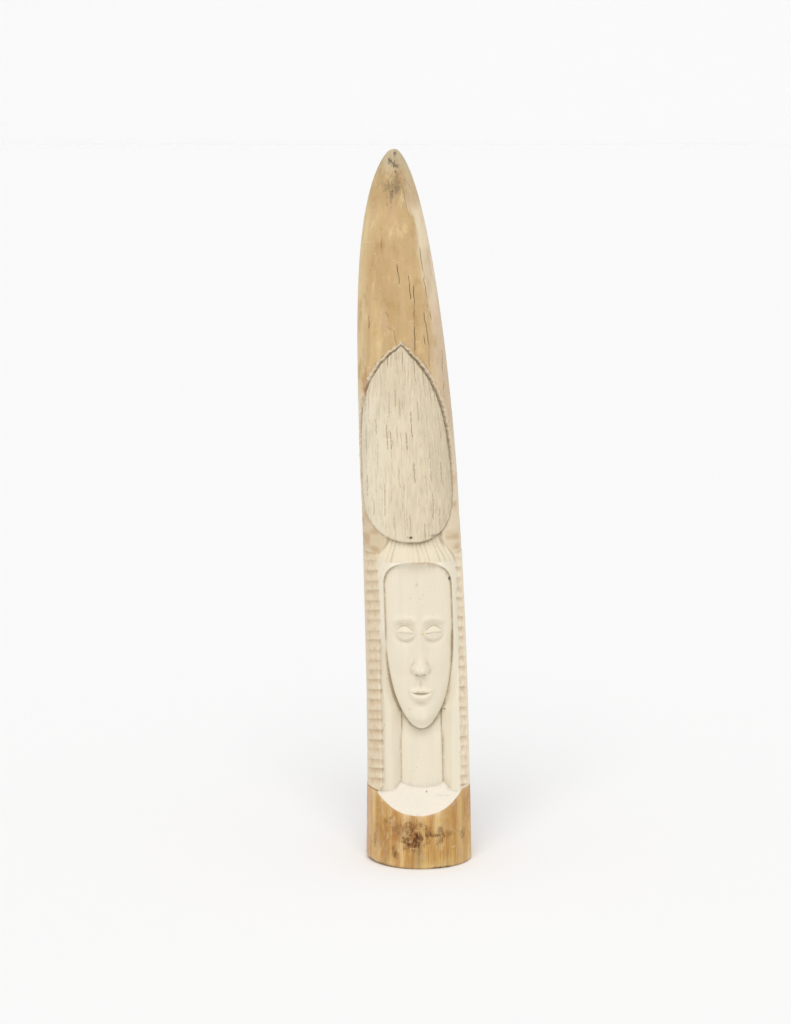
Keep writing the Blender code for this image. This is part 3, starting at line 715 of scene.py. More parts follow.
def lay_colour(tone, colour, mask):
    """Lays a colour over the part of the surface that a mask picks out."""
    tone += (np.array(colour) - tone) * mask[..., None]


def lay_screen_colours(tone, layers):
    """Lays colours, each given as on a screen, one over the other."""
    for screen, mask in layers:
        lay_colour(tone, from_screen(*screen), mask)


def strip_edge(z):
    """The left edge of the pale strip that runs down the tip's right side."""
    heights, across = zip(*STRIP_EDGE)
    return np.interp(z, heights, np.array(across) * MM)


def natural_colours(tone, x, z, side, angle, cloud, settings):
    """The rind with its pale strip, the skin beside the hairdo, the tip and the foot."""
    patchy = uneven(angle / 16, z / (14 * MM), 45)
    facing = smooth(np.abs(angle) + 12 * patchy, 112, 82)
    wavering = 0.9 * MM * uneven(angle / 12, z / (5 * MM), 46)
    wavering = wavering + 0.5 * MM * uneven(angle / 4, z / (1.8 * MM), 47)
    strip = smooth(x - strip_edge(z) + wavering, -1.3 * MM, 2.0 * MM) * smooth(z, *STRIP_FADES_IN) * facing
    blotch = smooth(uneven(angle / 11, z / (8 * MM), 48), 0.05, 0.7)
    left_of_hairdo = facing * smooth(side, -0.7, -0.9) * smooth(z, *LEFT_SKIN_ENDS)
    right_of_hairdo = facing * smooth(side, 0.5, 0.8) * smooth(z, *RIGHT_SKIN_ENDS)
    lay_screen_colours(tone, (
        ((196, 160, 108), smooth(cloud, 0.1, 0.9) * 0.7),
        ((222, 192, 140), smooth(cloud, -0.1, -0.9) * 0.6),
        # paler toward both sides: partly the rind's own tone, partly a painted sheen
        ((226, 201, 152), smooth(np.abs(side), 0.66, 0.96) * 0.75),
        ((231, 214, 182), strip),
        ((211, 184, 152), strip * blotch * 0.55),
        ((218, 190, 158), strip * smooth(z, *STRIP_PINK_ENDS) * 0.8),
        ((228, 216, 190), left_of_hairdo),
        ((214, 190, 158), right_of_hairdo),
        ((230, 215, 184), right_of_hairdo * smooth(z, *RIGHT_SKIN_PALES)),
        ((183, 152, 106), smooth(z, *TIP_DARKENS) * 0.6),
        ((194, 182, 152), smooth(z, *TIP_GREYS) * 0.8),
    ))
    foot = smooth(z, *FOOT_ENDS)
    streak = uneven(side * 9.0, z / (30 * MM), 43)
    lay_colour(tone, settings.foot_colour, foot)
    lay_screen_colours(tone, (
        ((178, 124, 70), foot * smooth(streak, 0.05, 0.9) * 0.75),
        ((222, 188, 132), foot * smooth(streak, -0.05, -0.9) * 0.75),
        ((206, 166, 132), foot * smooth(side, -0.86, -0.97) * 0.7),
        ((212, 180, 116), foot * smooth(cloud, 0.2, 0.9) * smooth(z, *FOOT_RIM_ENDS)),
    ))


def painted(points, zones, settings):
    """The large colours of the surface, with some painted light and shade in them, before the material adds
    its grain, mottling and stains.
    """
    x, z = points[..., 0], points[..., 2]
    side = (x - centre_x(z)) / half_width(z)
    angle = np.degrees(zones["across"] / (BASE_WIDTH / 2))
    cloud = uneven(x / (7 * MM), z / (15 * MM), 41)
    tone = np.ones(x.shape + (3,)) * np.array(settings.rind_colour)
    natural_colours(tone, x, z, side, angle, cloud, settings)

    # What is cut, except the niche
    border, flank, hairdo = zones["border"], zones["flank"], zones["hairdo"]
    turned = smooth(np.abs(angle) + 10 * uneven(angle / 16, z / (14 * MM), 45), 104, 84)
    brown = uneven(angle / 17, z / (2.6 * MM), 42)
    lay_screen_colours(tone, [((226, 208, 172), border)])
    lay_colour(tone, settings.border_colour, border * turned)
    lay_screen_colours(tone, (
        ((246, 231, 203), border * smooth(side, 0.0, 0.3) * turned),
        ((218, 199, 168), flank),
        ((230, 212, 183), flank * smooth(side, 0.0, 0.3)),
        ((196, 166, 126), flank * smooth(brown, 0.0, 0.8) * 0.7 * turned),
        ((234, 222, 196), zones["band"]),
    ))
    lay_colour(tone, settings.hairdo_colour, hairdo)
    lay_screen_colours(tone, (
        # painted light and shade: the hairdo paler on the left, toward the key light, and darker on the
        # right
        ((234, 222, 196), hairdo * smooth(side, -0.15, -0.75) * 0.8),
        ((214, 199, 170), hairdo * smooth(side, 0.15, 0.75) * 0.8),
        ((214, 198, 168), hairdo * smooth(z, *HAIRDO_TOP_GREYS) * 0.7),
        ((226, 208, 180), zones["rim"]),
    ))

    # The niche, with painted light under the hairline where the band's edge shades it, and a warm brown line
    # along the hairline
    u = x - figure_x(z)
    corner = 1.0 - (1.0 - np.clip(np.abs(u) / (HEAD_WIDTH / 2), 0.0, 1.0) ** 2.8) ** (1 / 2.8)
    above = z - HAIRLINE + HAIRLINE_CORNER * corner
    painted_light_under_hair = smooth(above, -4.5 * MM, -0.5 * MM) * smooth(np.abs(u), 15 * MM, 9 * MM)
    hairline = ridge(above - 0.1 * MM, 0.4 * MM) * smooth(np.abs(u - 3.4 * MM), 8 * MM, 4 * MM)
    lay_colour(tone, settings.cut_colour, zones["niche"])
    lay_screen_colours(tone, (
        ((255, 248, 230), painted_light_under_hair * zones["niche"] * 0.9),
        ((206, 158, 96), hairline * 0.9),
    ))
    lay_colour(tone, settings.chest_colour, zones["chest"])
    return tone


# Helpers for node trees

def add_node(tree, kind, inputs=None, **settings):
    """Adds a node, sets its own settings, and fills or joins its inputs by name or number."""
    node = tree.nodes.new(kind)
    for name, value in settings.items():
        setattr(node, name, value)
    for key, value in (inputs or {}).items():
        if isinstance(value, bpy.types.NodeSocket):
            tree.links.new(value, node.inputs[key])
        else:
            node.inputs[key].default_value = value
    return node


def calc(tree, operation, *values):
    """One step of arithmetic between numbers or sockets."""
    return add_node(tree, "ShaderNodeMath", dict(enumerate(values)), operation=operation).outputs[0]


def times(tree, value, *others):
    """Numbers or sockets multiplied, one after the other."""
    for other in others:
        value = calc(tree, "MULTIPLY", value, other)
    return value


def vector_calc(tree, operation, *values):
    """One step of vector arithmetic; a length comes out as a number, all else as a vector."""
    node = add_node(tree, "ShaderNodeVectorMath", dict(enumerate(values)), operation=operation)
    return node.outputs["Value" if operation == "LENGTH" else "Vector"]


def eased(tree, value, low, high, to_low=0.0, to_high=1.0):
    """A value brought smoothly from one range to another."""
    inputs = {"Value": value, "From Min": low, "From Max": high, "To Min": to_low, "To Max": to_high}
    return add_node(tree, "ShaderNodeMapRange", inputs, interpolation_type="SMOOTHSTEP").outputs["Result"]


def grey(tree, level):
    return add_node(tree, "ShaderNodeCombineColor", {0: level, 1: level, 2: level}).outputs[0]


# The cuts that repeat or follow a line, made by Geometry Nodes

def zone(tree, name):
    return add_node(tree, "GeometryNodeInputNamedAttribute", {"Name": name}, data_type="FLOAT").outputs[0]


def cut_in(tree, geometry, depth, keep_as, share):
    """Stores how strongly each point is cut, then moves the points in along their normals."""
    inputs = {"Geometry": geometry, "Name": keep_as, "Value": share}
    kept = add_node(tree, "GeometryNodeStoreNamedAttribute", inputs, data_type="FLOAT", domain="POINT")
    normal = add_node(tree, "GeometryNodeInputNormal").outputs["Normal"]
    inputs = {0: normal, "Scale": times(tree, zone(tree, keep_as), depth, -1.0)}
    inward = add_node(tree, "ShaderNodeVectorMath", inputs, operation="SCALE").outputs[0]
    inputs = {"Geometry": kept.outputs["Geometry"], "Offset": inward}
    return add_node(tree, "GeometryNodeSetPosition", inputs).outputs["Geometry"]


def chance(tree, number, seed, low=0.0, high=1.0):
    """A random value that stays the same for each whole number."""
    inputs = {2: low, 3: high, "ID": number, "Seed": seed}
    return add_node(tree, "FunctionNodeRandomValue", inputs, data_type="FLOAT").outputs[1]


def wavering(tree, distance):
    """Smooth random values along a line, in bumps about one unit long."""
    inputs = {"W": distance, "Scale": 1.0}
    return add_node(tree, "ShaderNodeTexNoise", inputs, noise_dimensions="1D").outputs[0]


def notch_share(tree, pitch, seed):
    """Square notches one above the other down the borders, each a little different."""
    position = add_node(tree, "GeometryNodeInputPosition").outputs[0]
    spot = add_node(tree, "ShaderNodeSeparateXYZ", {0: position}).outputs
    tilted = calc(tree, "MULTIPLY_ADD", spot["Y"], NOTCH_TILT, zone(tree, "along"))
    steps = calc(tree, "DIVIDE", calc(tree, "SUBTRACT", tilted, BORDER_BOTTOM), pitch)
    on_left = calc(tree, "LESS_THAN", spot["X"], 0.0)
    steps = calc(tree, "ADD", steps, times(tree, on_left, LEFT_NOTCH_STEPS))
    whole = calc(tree, "FLOOR", steps)
    phase = calc(tree, "SUBTRACT", steps, whole)
    odd = chance(tree, whole, seed, 0.45, 1.1)
    phase = calc(tree, "ADD", phase, chance(tree, whole, 3, -0.07, 0.07))
    shape = times(tree, eased(tree, phase, 0.10, 0.75), eased(tree, phase, 0.93, 0.80))
    return times(tree, shape, odd, zone(tree, "notched"))


def stroke_share(tree, spacing, length, width, seed):
    """Gouge strokes in uneven columns along the tusk, each column broken into strokes of many lengths."""
    across, along = zone(tree, "across"), zone(tree, "along")
    wander = wavering(tree, times(tree, along, WANDERS_PER_METRE))
    shake = wavering(tree, times(tree, along, SHAKES_PER_METRE))
    sway = calc(tree, "MULTIPLY_ADD", wander, 0.5, calc(tree, "DIVIDE", across, spacing))
    sway = calc(tree, "MULTIPLY_ADD", shake, 0.26, sway)
    column = calc(tree, "FLOOR", sway)
    aside = chance(tree, column, calc(tree, "ADD", seed, 1), 0.22, 0.78)
    away = calc(tree, "ABSOLUTE", calc(tree, "SUBTRACT", calc(tree, "SUBTRACT", sway, column), aside))
    line = eased(tree, times(tree, away, spacing), width, 0.0)
    steps = calc(tree, "ADD", calc(tree, "DIVIDE", along, length), chance(tree, column, 2, 0.0, 90.0))
    row = calc(tree, "FLOOR", steps)
    phase = calc(tree, "SUBTRACT", steps, row)

    # Each stroke has its own number, and with it a start, an end and a force
    number = calc(tree, "MULTIPLY_ADD", column, 61.0, row)
    start = chance(tree, number, 3, 0.02, 0.32)
    stop = chance(tree, number, 4, 0.55, 0.96)
    begun = eased(tree, calc(tree, "SUBTRACT", phase, start), 0.0, 0.10)
    not_done = eased(tree, calc(tree, "SUBTRACT", stop, phase), 0.0, 0.10)
    force = calc(tree, "MAXIMUM", chance(tree, number, 5, -0.2, 1.0), 0.0)
    skips = wavering(tree, calc(tree, "MULTIPLY_ADD", column, 31.0, times(tree, along, SKIPS_PER_METRE)))
    force = times(tree, force, eased(tree, skips, 0.34, 0.52, 0.6, 1.0))
    within = times(tree, begun, not_done, force)
    return times(tree, line, within, zone(tree, "hairdo"))


def knife_work_tree():
    """Cuts the notches, the gouge strokes and the cracks into the tusk's surface."""
    tree = bpy.data.node_groups.new("knife_work", "GeometryNodeTree")
    wanted = {
        "Tusk": "Geometry",
        "Notch Pitch": "Float",
        "Notch Depth": "Float",
        "Gouge Spacing": "Float",
        "Gouge Length": "Float",
        "Gouge Depth": "Float",
        "Crack Lines": "Object",
        "Crack Depth": "Float",
        "Seed": "Int",
        "Ivory": "Material",
    }
    for name, kind in wanted.items():
        tree.interface.new_socket(name=name, in_out="INPUT", socket_type="NodeSocket" + kind)
    tree.interface.new_socket(name="Tusk", in_out="OUTPUT", socket_type="NodeSocketGeometry")
    given = add_node(tree, "NodeGroupInput").outputs
    spacing, length, seed = given["Gouge Spacing"], given["Gouge Length"], given["Seed"]
    notches = notch_share(tree, given["Notch Pitch"], seed)
    surface = cut_in(tree, given["Tusk"], given["Notch Depth"], "notch", notches)
    strokes = stroke_share(tree, spacing, length, STROKE_WIDTH, seed)
    fine = stroke_share(tree, times(tree, spacing, 0.37), times(tree, length, 0.36), FINE_STROKE_WIDTH, seed)
    gouges = calc(tree, "MAXIMUM", strokes, times(tree, fine, 0.55))
    surface = cut_in(tree, surface, given["Gouge Depth"], "gouge", gouges)
    lines = add_node(tree, "GeometryNodeObjectInfo", {"Object": given["Crack Lines"]}).outputs["Geometry"]
    found = add_node(tree, "GeometryNodeProximity", {0: lines}, target_element="EDGES")
    cracks = eased(tree, found.outputs["Distance"], CRACK_WIDTH, 0.0)
    fading = add_node(tree, "ShaderNodeTexNoise", {"Scale": 170.0, "Detail": 1.0}).outputs[0]
    cracks = times(tree, cracks, eased(tree, fading, 0.34, 0.54, 0.5, 1.0))
    surface = cut_in(tree, surface, given["Crack Depth"], "crack", cracks)
    whole = add_node(tree, "GeometryNodeRealizeInstances", {"Geometry": surface}).outputs[0]
    dressed = add_node(tree, "GeometryNodeSetMaterial", {"Geometry": whole, "Material": given["Ivory"]})
    add_node(tree, "NodeGroupOutput", {"Tusk": dressed.outputs[0]})
    return tree


def add_object(name, data):
    """A new object in the scene that shows some mesh, light or camera."""
    thing = bpy.data.objects.new(name, data)
    bpy.context.scene.collection.objects.link(thing)
    return thing


def crack_line_object():
    """Each crack as a wandering line on the tusk's front, in a helper object; a weak one stands off it."""
    points, edges = [], []
    for number, (top_x, top_z, low_x, low_z, strength) in enumerate(CRACKS):
        steps = max(4, round(math.hypot(top_x - low_x, top_z - low_z) / 0.8))
        share = np.linspace(0.0, 1.0, steps + 1)
        length = share * (top_z - low_z)
        wander = 0.35 * uneven(length / 3.2, share * 0.0, 50 + number)
        wander = wander + 0.22 * uneven(length / 1.3, share * 0.0, 90 + number)
        x = (top_x + (low_x - top_x) * share + wander * np.sin(math.pi * share)) * MM
        z = (top_z + (low_z - top_z) * share) * MM
        y = centre_y(z) - half_depth(z) + natural_depth(x - centre_x(z), z) - (1.0 - strength) * 0.4 * MM
        first = len(points)
        points += np.stack([x, y, z], axis=-1).tolist()
        edges += [(first + k, first + k + 1) for k in range(steps)]
    mesh = bpy.data.meshes.new("crack_lines")
    mesh.from_pydata(points, edges, [])
    return add_object("crack_lines", mesh)


# The ivory material

def attribute(tree, name, output="Fac"):
    return add_node(tree, "ShaderNodeAttribute", attribute_name=name).outputs[output]


def noise(tree, coordinates, scale, detail=3.0, roughness=0.55):
    """Noise stretched by a scale for each axis, in bumps to the metre."""
    placed = add_node(tree, "ShaderNodeMapping", {"Vector": coordinates, "Scale": scale})
    inputs = {"Vector": placed.outputs[0], "Scale": 1.0, "Detail": detail, "Roughness": roughness}
    return add_node(tree, "ShaderNodeTexNoise", inputs).outputs["Fac"]


def tint(tree, factor, under, over, blend="MIX"):
    """One colour laid over another."""
    inputs = {0: factor, 6: under, 7: over}
    return add_node(tree, "ShaderNodeMix", inputs, data_type="RGBA", blend_type=blend).outputs[2]


def opaque(colour):
    return (*colour, 1.0)


def dyed(tree, colour, screen, mask, *shares):
    """A colour tinted, as far as a mask and its shares say, with one given as on a screen."""
    return tint(tree, times(tree, mask, *shares), colour, opaque(from_screen(*screen)))


def stain(tree, coordinates, ragged, place, reach):
    """A soft-edged blotch with a ragged outline, round a place on the surface."""
    away = vector_calc(tree, "DIVIDE", vector_calc(tree, "SUBTRACT", coordinates, place), reach)
    return eased(tree, calc(tree, "ADD", vector_calc(tree, "LENGTH", away), ragged), 1.35, 0.35)


def sole_colour(tree, place, patches, settings):
    """The sawn underside: paler heart, fine rings round it, and straight saw marks."""
    from_heart = vector_calc(tree, "LENGTH", place)
    rings = calc(tree, "MULTIPLY_ADD", patches, 9.0, times(tree, from_heart, 3600.0))
    saw = eased(tree, noise(tree, place, (60, 2400, 1), 2.0), 0.3, 0.7, 0.15, 0.45)
    marks = calc(tree, "MULTIPLY_ADD", calc(tree, "SINE", rings), 0.16, saw)
    colour = dyed(tree, opaque(from_screen(226, 205, 166)), (172, 136, 90), marks)
    outer = times(tree, eased(tree, from_heart, 0.017, 0.024), 0.6)
    return tint(tree, outer, colour, opaque(settings.foot_colour))


def ivory_material(settings):
    """Grain, mottling, dirt, stains and cracks over the large colours, with painted shade in recesses and
    valleys and painted highlights on edges.
    """
    material = bpy.data.materials.new("carved_ivory")
    material.use_nodes = True
    tree = material.node_tree
    shader = tree.nodes["Principled BSDF"].inputs
    place = add_node(tree, "ShaderNodeTexCoord").outputs["Object"]
    height = add_node(tree, "ShaderNodeSeparateXYZ", {0: place}).outputs["Z"]
    rind, hairdo, strand, seam, rim, edge = (
        attribute(tree, name) for name in ("rind", "hairdo", "strand", "seam", "rim", "edge")
    )
    dirt_and_shade, notched, notch, gouge, crack = (
        attribute(tree, name) for name in ("dirt_and_shade", "notched", "notch", "gouge", "crack")
    )

    # Long faint streaks along the tusk, strongest on its natural outside
    foot = eased(tree, height, 0.040, 0.026)
    long_streaks = noise(tree, place, (330, 330, 11), 4.0)
    fine_streaks = noise(tree, place, (1500, 1500, 45), 3.0)
    long_part = eased(tree, long_streaks, 0.30, 0.70, -0.5, 0.5)
    streak = calc(tree, "ADD", long_part, eased(tree, fine_streaks, 0.3, 0.7, -0.3, 0.3))
    on_foot = calc(tree, "MULTIPLY_ADD", foot, 0.18, 0.05)
    on_hairdo = calc(tree, "MULTIPLY_ADD", hairdo, 0.05, 0.03)
    contrast = calc(tree, "MULTIPLY_ADD", rind, on_foot, on_hairdo)
    brightness = calc(tree, "MULTIPLY_ADD", streak, contrast, 1.0)
    clouds = noise(tree, place, (150, 150, 72), 4.0, 0.6)
    dark_clouds, pale_clouds = eased(tree, clouds, 0.50, 0.72), eased(tree, clouds, 0.46, 0.30)
    colour = attribute(tree, "tone", "Color")
    colour = dyed(tree, colour, (180, 144, 90), dark_clouds, times(tree, rind, 0.65))
    colour = dyed(tree, colour, (228, 204, 154), pale_clouds, times(tree, rind, 0.6))
    blush = eased(tree, noise(tree, place, (210, 210, 130), 3.0, 0.6), 0.54, 0.66)
    colour = dyed(tree, colour, (205, 172, 142), blush, rind, 0.38)
    hairlines = eased(tree, noise(tree, place, (2300, 2300, 70), 2.0), 0.62, 0.72)
    colour = dyed(tree, colour, (126, 78, 38), hairlines, foot, rind, 0.45)
    colour = tint(tree, 1.0, colour, grey(tree, brightness), "MULTIPLY")

    # Short darker dashes in the gouged hairdo, painted shade in the strand valleys and along the seam, and
    # the rim round it
    dashes = noise(tree, place, (1150, 500, 105), 3.0, 0.6)
    dash = times(tree, eased(tree, dashes, 0.53, 0.70), hairdo)
    soft_patches = noise(tree, place, (120, 120, 60), 3.0)
    knobs = noise(tree, place, (620, 620, 620), 2.0)
    colour = dyed(tree, colour, (172, 150, 116), dash, 0.28)
    colour = dyed(tree, colour, (238, 226, 202), eased(tree, dashes, 0.46, 0.32), hairdo, 0.6)
    colour = dyed(tree, colour, (202, 187, 158), eased(tree, soft_patches, 0.52, 0.68), hairdo, 0.30)
    colour = dyed(tree, colour, (190, 168, 132), strand, 0.50)
    colour = dyed(tree, colour, (186, 160, 126), rim, eased(tree, knobs, 0.5, 0.68, 0.0, 0.7))
    colour = dyed(tree, colour, (106, 84, 62), seam, 0.85)
    colour = dyed(tree, colour, (142, 114, 80), eased(tree, gouge, 0.0, 1.0, 0.0, 0.88))

    # Brown handling dirt in the notches; dirt with painted shade in the recesses, and paler edges beside
    # them, partly wear and partly painted highlight
    dirt_noise = noise(tree, place, (330, 330, 330), 4.0)
    smudges = eased(tree, dirt_noise, 0.44, 0.66)
    colour = dyed(tree, colour, (205, 170, 128), smudges, times(tree, notched, 0.35))
    colour = dyed(tree, colour, (190, 160, 122), notch, 0.46)
    held_dirt_and_shade = times(tree, dirt_and_shade, eased(tree, dirt_noise, 0.25, 0.60, 0.30, 0.75))
    colour = tint(tree, held_dirt_and_shade, colour, opaque(settings.dirt_and_shade_colour))
    colour = dyed(tree, colour, (248, 238, 218), edge, 0.25)

    # Old stains and specks; those of the foot are softer and mottled
    fibres = eased(tree, noise(tree, place, (1500, 1500, 160), 3.0), 0.3, 0.7, -0.35, 0.35)
    ragged = eased(tree, noise(tree, place, (520, 520, 360), 4.0, 0.65), 0.3, 0.7, -0.45, 0.45)
    ragged = calc(tree, "ADD", ragged, fibres)
    softer = times(tree, ragged, 0.8)
    mottle = eased(tree, noise(tree, place, (900, 900, 520), 3.0, 0.6), 0.38, 0.58, 0.45, 1.0)
    for marks, screen in DYES:
        on_foot = marks is FOOT_STAINS
        for x, y, z, wide, tall, strength in marks:
            reach = (wide * MM, STAIN_REACH_BACK, tall * MM)
            blot = stain(tree, place, softer if on_foot else ragged, (x * MM, y * MM, z * MM), reach)
            shares = (mottle, strength) if on_foot else (strength,)
            colour = dyed(tree, colour, screen, blot, *shares)

    # Small level scale marks on the polished outside, fine dark specks, then the cracks
    scales = eased(tree, noise(tree, place, (260, 260, 900), 2.0, 0.5), 0.66, 0.74)
    specks = eased(tree, noise(tree, place, (1100, 1100, 800), 1.0, 0.3), 0.785, 0.82)
    colour = dyed(tree, colour, (234, 214, 172), scales, times(tree, rind, 0.35))
    colour = dyed(tree, colour, (110, 84, 56), specks, 0.55)
    colour = tint(tree, eased(tree, crack, 0.15, 0.85, 0.0, 0.92), colour, opaque(settings.crack_colour))
    on_sole = eased(tree, height, 0.3 * MM, 0.02 * MM)
    colour = tint(tree, on_sole, colour, sole_colour(tree, place, soft_patches, settings))

    tree.links.new(colour, shader["Base Color"])
    rough = calc(tree, "MULTIPLY_ADD", dirt_noise, 0.10, calc(tree, "MULTIPLY_ADD", rind, -0.10, 0.54))
    tree.links.new(rough, shader["Roughness"])
    shader["Specular IOR Level"].default_value = 0.35
    shader["Subsurface Weight"].default_value = 0.12
    shader["Subsurface Radius"].default_value = (1.0, 0.65, 0.4)
    shader["Subsurface Scale"].default_value = 1.5 * MM
    relief = calc(tree, "ADD", times(tree, dash, -0.8), times(tree, fine_streaks, 0.35))
    bump = add_node(tree, "ShaderNodeBump", {"Strength": 0.35, "Distance": 0.2 * MM, "Height": relief})
    tree.links.new(bump.outputs["Normal"], shader["Normal"])
    return material


# The tusk as a mesh

def surface_mesh(points, zones, tone):
    """Rows of quads round the tusk, closed by a fan at the tip and one at the foot, with all attributes."""
    rows, columns = points.shape[:2]
    place = np.arange(rows * columns).reshape(rows, columns)
    low, high = place[:-1], place[1:]
    quads = np.stack([low, np.roll(low, -1, 1), np.roll(high, -1, 1), high], axis=-1).reshape(-1, 4)
    tip, sole = rows * columns, rows * columns + 1
    ends = [(a, b, tip) for a, b in zip(place[-1], np.roll(place[-1], -1))]
    ends += [(b, a, sole) for a, b in zip(place[0], np.roll(place[0], -1))]
    extra = [(centre_x(HEIGHT), centre_y(HEIGHT), HEIGHT), (0.0, 0.0, 0.0)]
    mesh = bpy.data.meshes.new("carved_tusk_surface")
    mesh.from_pydata(points.reshape(-1, 3).tolist() + extra, [], quads.tolist() + ends)
    for name, field in zones.items():
        layer = mesh.attributes.new(name, "FLOAT", "POINT")
        values = np.append(field.ravel(), [field[-1, 0], field[0, 0]])
        layer.data.foreach_set("value", values.astype(np.float32))
    layer = mesh.attributes.new("tone", "FLOAT_COLOR", "POINT")
    colours = np.concatenate([tone.reshape(-1, 3), tone[-1, :1], tone[0, :1]])
    colours = np.concatenate([colours, np.ones((len(colours), 1))], axis=1)
    layer.data.foreach_set("color", colours.ravel().astype(np.float32))
    mesh.shade_smooth()
    return mesh


def fit_inside(mesh, box):
    """Draws the surface in by a hair where it would pass the solid that it stands for."""
    spots = np.empty(len(mesh.vertices) * 3)
    mesh.vertices.foreach_get("co", spots)
    spots = spots.reshape(-1, 3)
    low, high = np.array(box[0]), np.array(box[1])
    share = np.minimum((high - low) / np.ptp(spots, axis=0), 1.0)
    spots = low + (spots - spots.min(axis=0)) * share + (high - low - np.ptp(spots, axis=0) * share) / 2
    mesh.vertices.foreach_set("co", spots.ravel())
    mesh.update()


class TUSK_OT_carve(bpy.types.Operator):
    """Builds the carved tusk with its ivory material"""

    bl_idname = "tusk.carve"
    bl_label = "Carve Tusk"

    def execute(self, context):
        settings = context.scene.tusk_settings
        points, zones = carved_surface()
        mesh = surface_mesh(points, zones, painted(points, zones, settings))
        rough = add_object("rough_tusk", mesh)
        cracks = crack_line_object()
        tree = knife_work_tree()
        knife = rough.modifiers.new("knife_work", "NODES")
        knife.node_group = tree
        made = {"Crack Lines": cracks, "Ivory": ivory_material(settings)}
        for item in tree.interface.items_tree:
            if item.name in made:
                knife[item.identifier] = made[item.name]
            elif item.name != "Tusk":
                knife[item.identifier] = getattr(settings, item.name.lower().replace(" ", "_"))
        thin = rough.modifiers.new("thin_out_flat_places", "DECIMATE")
        thin.ratio = TRIANGLES / (2 * len(mesh.polygons))
        thin.use_collapse_triangulate = True
        graph = context.evaluated_depsgraph_get()
        finished = bpy.data.meshes.new_from_object(rough.evaluated_get(graph))
        finished.name = "ivory_tusk_carving"
        for helper in (rough, cracks):
            bpy.data.objects.remove(helper)
        if not finished.polygons:
            raise RuntimeError("the carved tusk came out with no faces")
        fit_inside(finished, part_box("carved_tusk"))
        tusk = add_object("ivory_tusk_carving", finished)
        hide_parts("carved_tusk")
        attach(tusk, "root")
        return {"FINISHED"}


# The studio

def matt_material(name, colour):
    material = bpy.data.materials.new(name)
    material.use_nodes = True
    shader = material.node_tree.nodes["Principled BSDF"].inputs
    shader["Base Color"].default_value = opaque(colour)
    shader["Roughness"].default_value = 0.9
    shader["Specular IOR Level"].default_value = 0.0
    return material


def floor_material(settings):
    """The floor is a little darker towards the wall, which throws light back on it."""
    material = matt_material("pale_floor", settings.floor_colour)
    tree = material.node_tree
    place = add_node(tree, "ShaderNodeTexCoord").outputs["Object"]
    gap = calc(tree, "SUBTRACT", FLOOR_REACH, vector_calc(tree, "LENGTH", place))
    slant = calc(tree, "SQRT", calc(tree, "MULTIPLY_ADD", gap, gap, WALL_HEIGHT**2))
    wall_seen = calc(tree, "MULTIPLY_ADD", calc(tree, "DIVIDE", gap, slant), -0.5, 0.5)
    shade = grey(tree, calc(tree, "MULTIPLY_ADD", wall_seen, -0.28, 1.0))
    colour = tint(tree, 1.0, opaque(settings.floor_colour), shade, "MULTIPLY")
    tree.links.new(colour, tree.nodes["Principled BSDF"].inputs["Base Color"])
    return material


def studio_mesh():
    """A wide round floor with a low wall far behind it on every side."""
    spokes = 96
    turns = [2 * math.pi * k / spokes for k in range(spokes)]
    ring = [(FLOOR_REACH * math.cos(turn), FLOOR_REACH * math.sin(turn)) for turn in turns]
    points = [(x, y, 0.0) for x, y in ring] * 2 + [(x, y, WALL_HEIGHT) for x, y in ring]
    faces = [tuple(range(spokes))]
    for k in range(spokes):
        after = (k + 1) % spokes
        faces.append((spokes + after, spokes + k, 2 * spokes + k, 2 * spokes + after))
    mesh = bpy.data.meshes.new("studio_floor")
    mesh.from_pydata(points, [], faces)
    mesh.polygons.foreach_set("material_index", [0] + [1] * spokes)
    mesh.shade_smooth()
    return mesh


def key_light(settings):
    """One broad soft light from above the camera, a little to the left."""
    light = bpy.data.lights.new("key_light", "SUN")
    light.energy = settings.key_strength
    light.angle = settings.key_softness
    lamp = add_object("key_light", light)
    lamp.rotation_euler = (math.pi / 2 - settings.key_height, 0.0, settings.key_side)


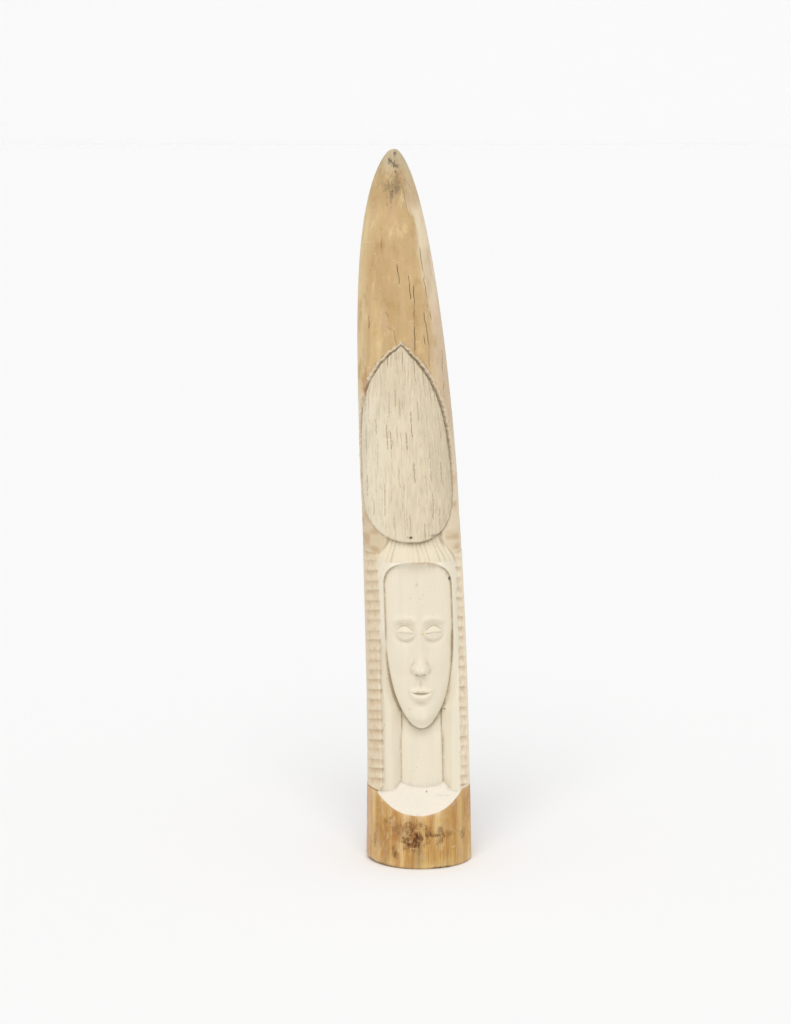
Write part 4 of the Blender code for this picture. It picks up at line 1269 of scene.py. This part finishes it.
def studio_camera(settings):
    camera = bpy.data.cameras.new("studio_camera")
    camera.lens = settings.lens
    camera.sensor_width = 36.0
    camera.clip_start = 0.05
    viewer = add_object("studio_camera", camera)
    pitch = settings.camera_pitch
    back_off = Vector((0.0, -math.cos(pitch), math.sin(pitch))) * settings.camera_distance
    viewer.location = Vector(CAMERA_TARGET) + back_off
    viewer.rotation_euler = (math.pi / 2 - pitch, 0.0, 0.0)
    return viewer


class TUSK_OT_stage(bpy.types.Operator):
    """Builds the pale floor, the soft lights and the camera"""

    bl_idname = "tusk.stage"
    bl_label = "Set Stage"

    def execute(self, context):
        scene = context.scene
        settings = scene.tusk_stage
        floor = add_object("studio_floor", studio_mesh())
        floor.data.materials.append(floor_material(settings))
        floor.data.materials.append(matt_material("pale_wall", settings.wall_colour))
        key_light(settings)
        scene.world = bpy.data.worlds.new("soft_white")
        scene.world.use_nodes = True
        background = scene.world.node_tree.nodes["Background"].inputs
        background["Color"].default_value = (1.0, 1.0, 1.0, 1.0)
        background["Strength"].default_value = settings.room_light
        scene.view_settings.view_transform = "Standard"
        scene.camera = studio_camera(settings)
        return {"FINISHED"}


class TUSK_PT_panel(bpy.types.Panel):
    bl_idname = "TUSK_PT_panel"
    bl_label = "Carved Tusk"
    bl_space_type = "VIEW_3D"
    bl_region_type = "UI"
    bl_category = "Carved Tusk"

    def draw(self, context):
        for group, operator in (("tusk_settings", "tusk.carve"), ("tusk_stage", "tusk.stage")):
            settings = getattr(context.scene, group)
            for name in settings.bl_rna.properties.keys():
                if name not in ("rna_type", "name"):
                    self.layout.prop(settings, name)
            self.layout.operator(operator)


CLASSES = (TuskSettings, StageSettings, TUSK_OT_carve, TUSK_OT_stage, TUSK_PT_panel)


def register():
    for item in CLASSES:
        bpy.utils.register_class(item)
    bpy.types.Scene.tusk_settings = PointerProperty(type=TuskSettings)
    bpy.types.Scene.tusk_stage = PointerProperty(type=StageSettings)


def unregister():
    del bpy.types.Scene.tusk_stage
    del bpy.types.Scene.tusk_settings
    for item in reversed(CLASSES):
        bpy.utils.unregister_class(item)


def main():
    register()
    bpy.ops.tusk.stage()
    bpy.ops.tusk.carve()


if __name__ == "__main__":
    main()
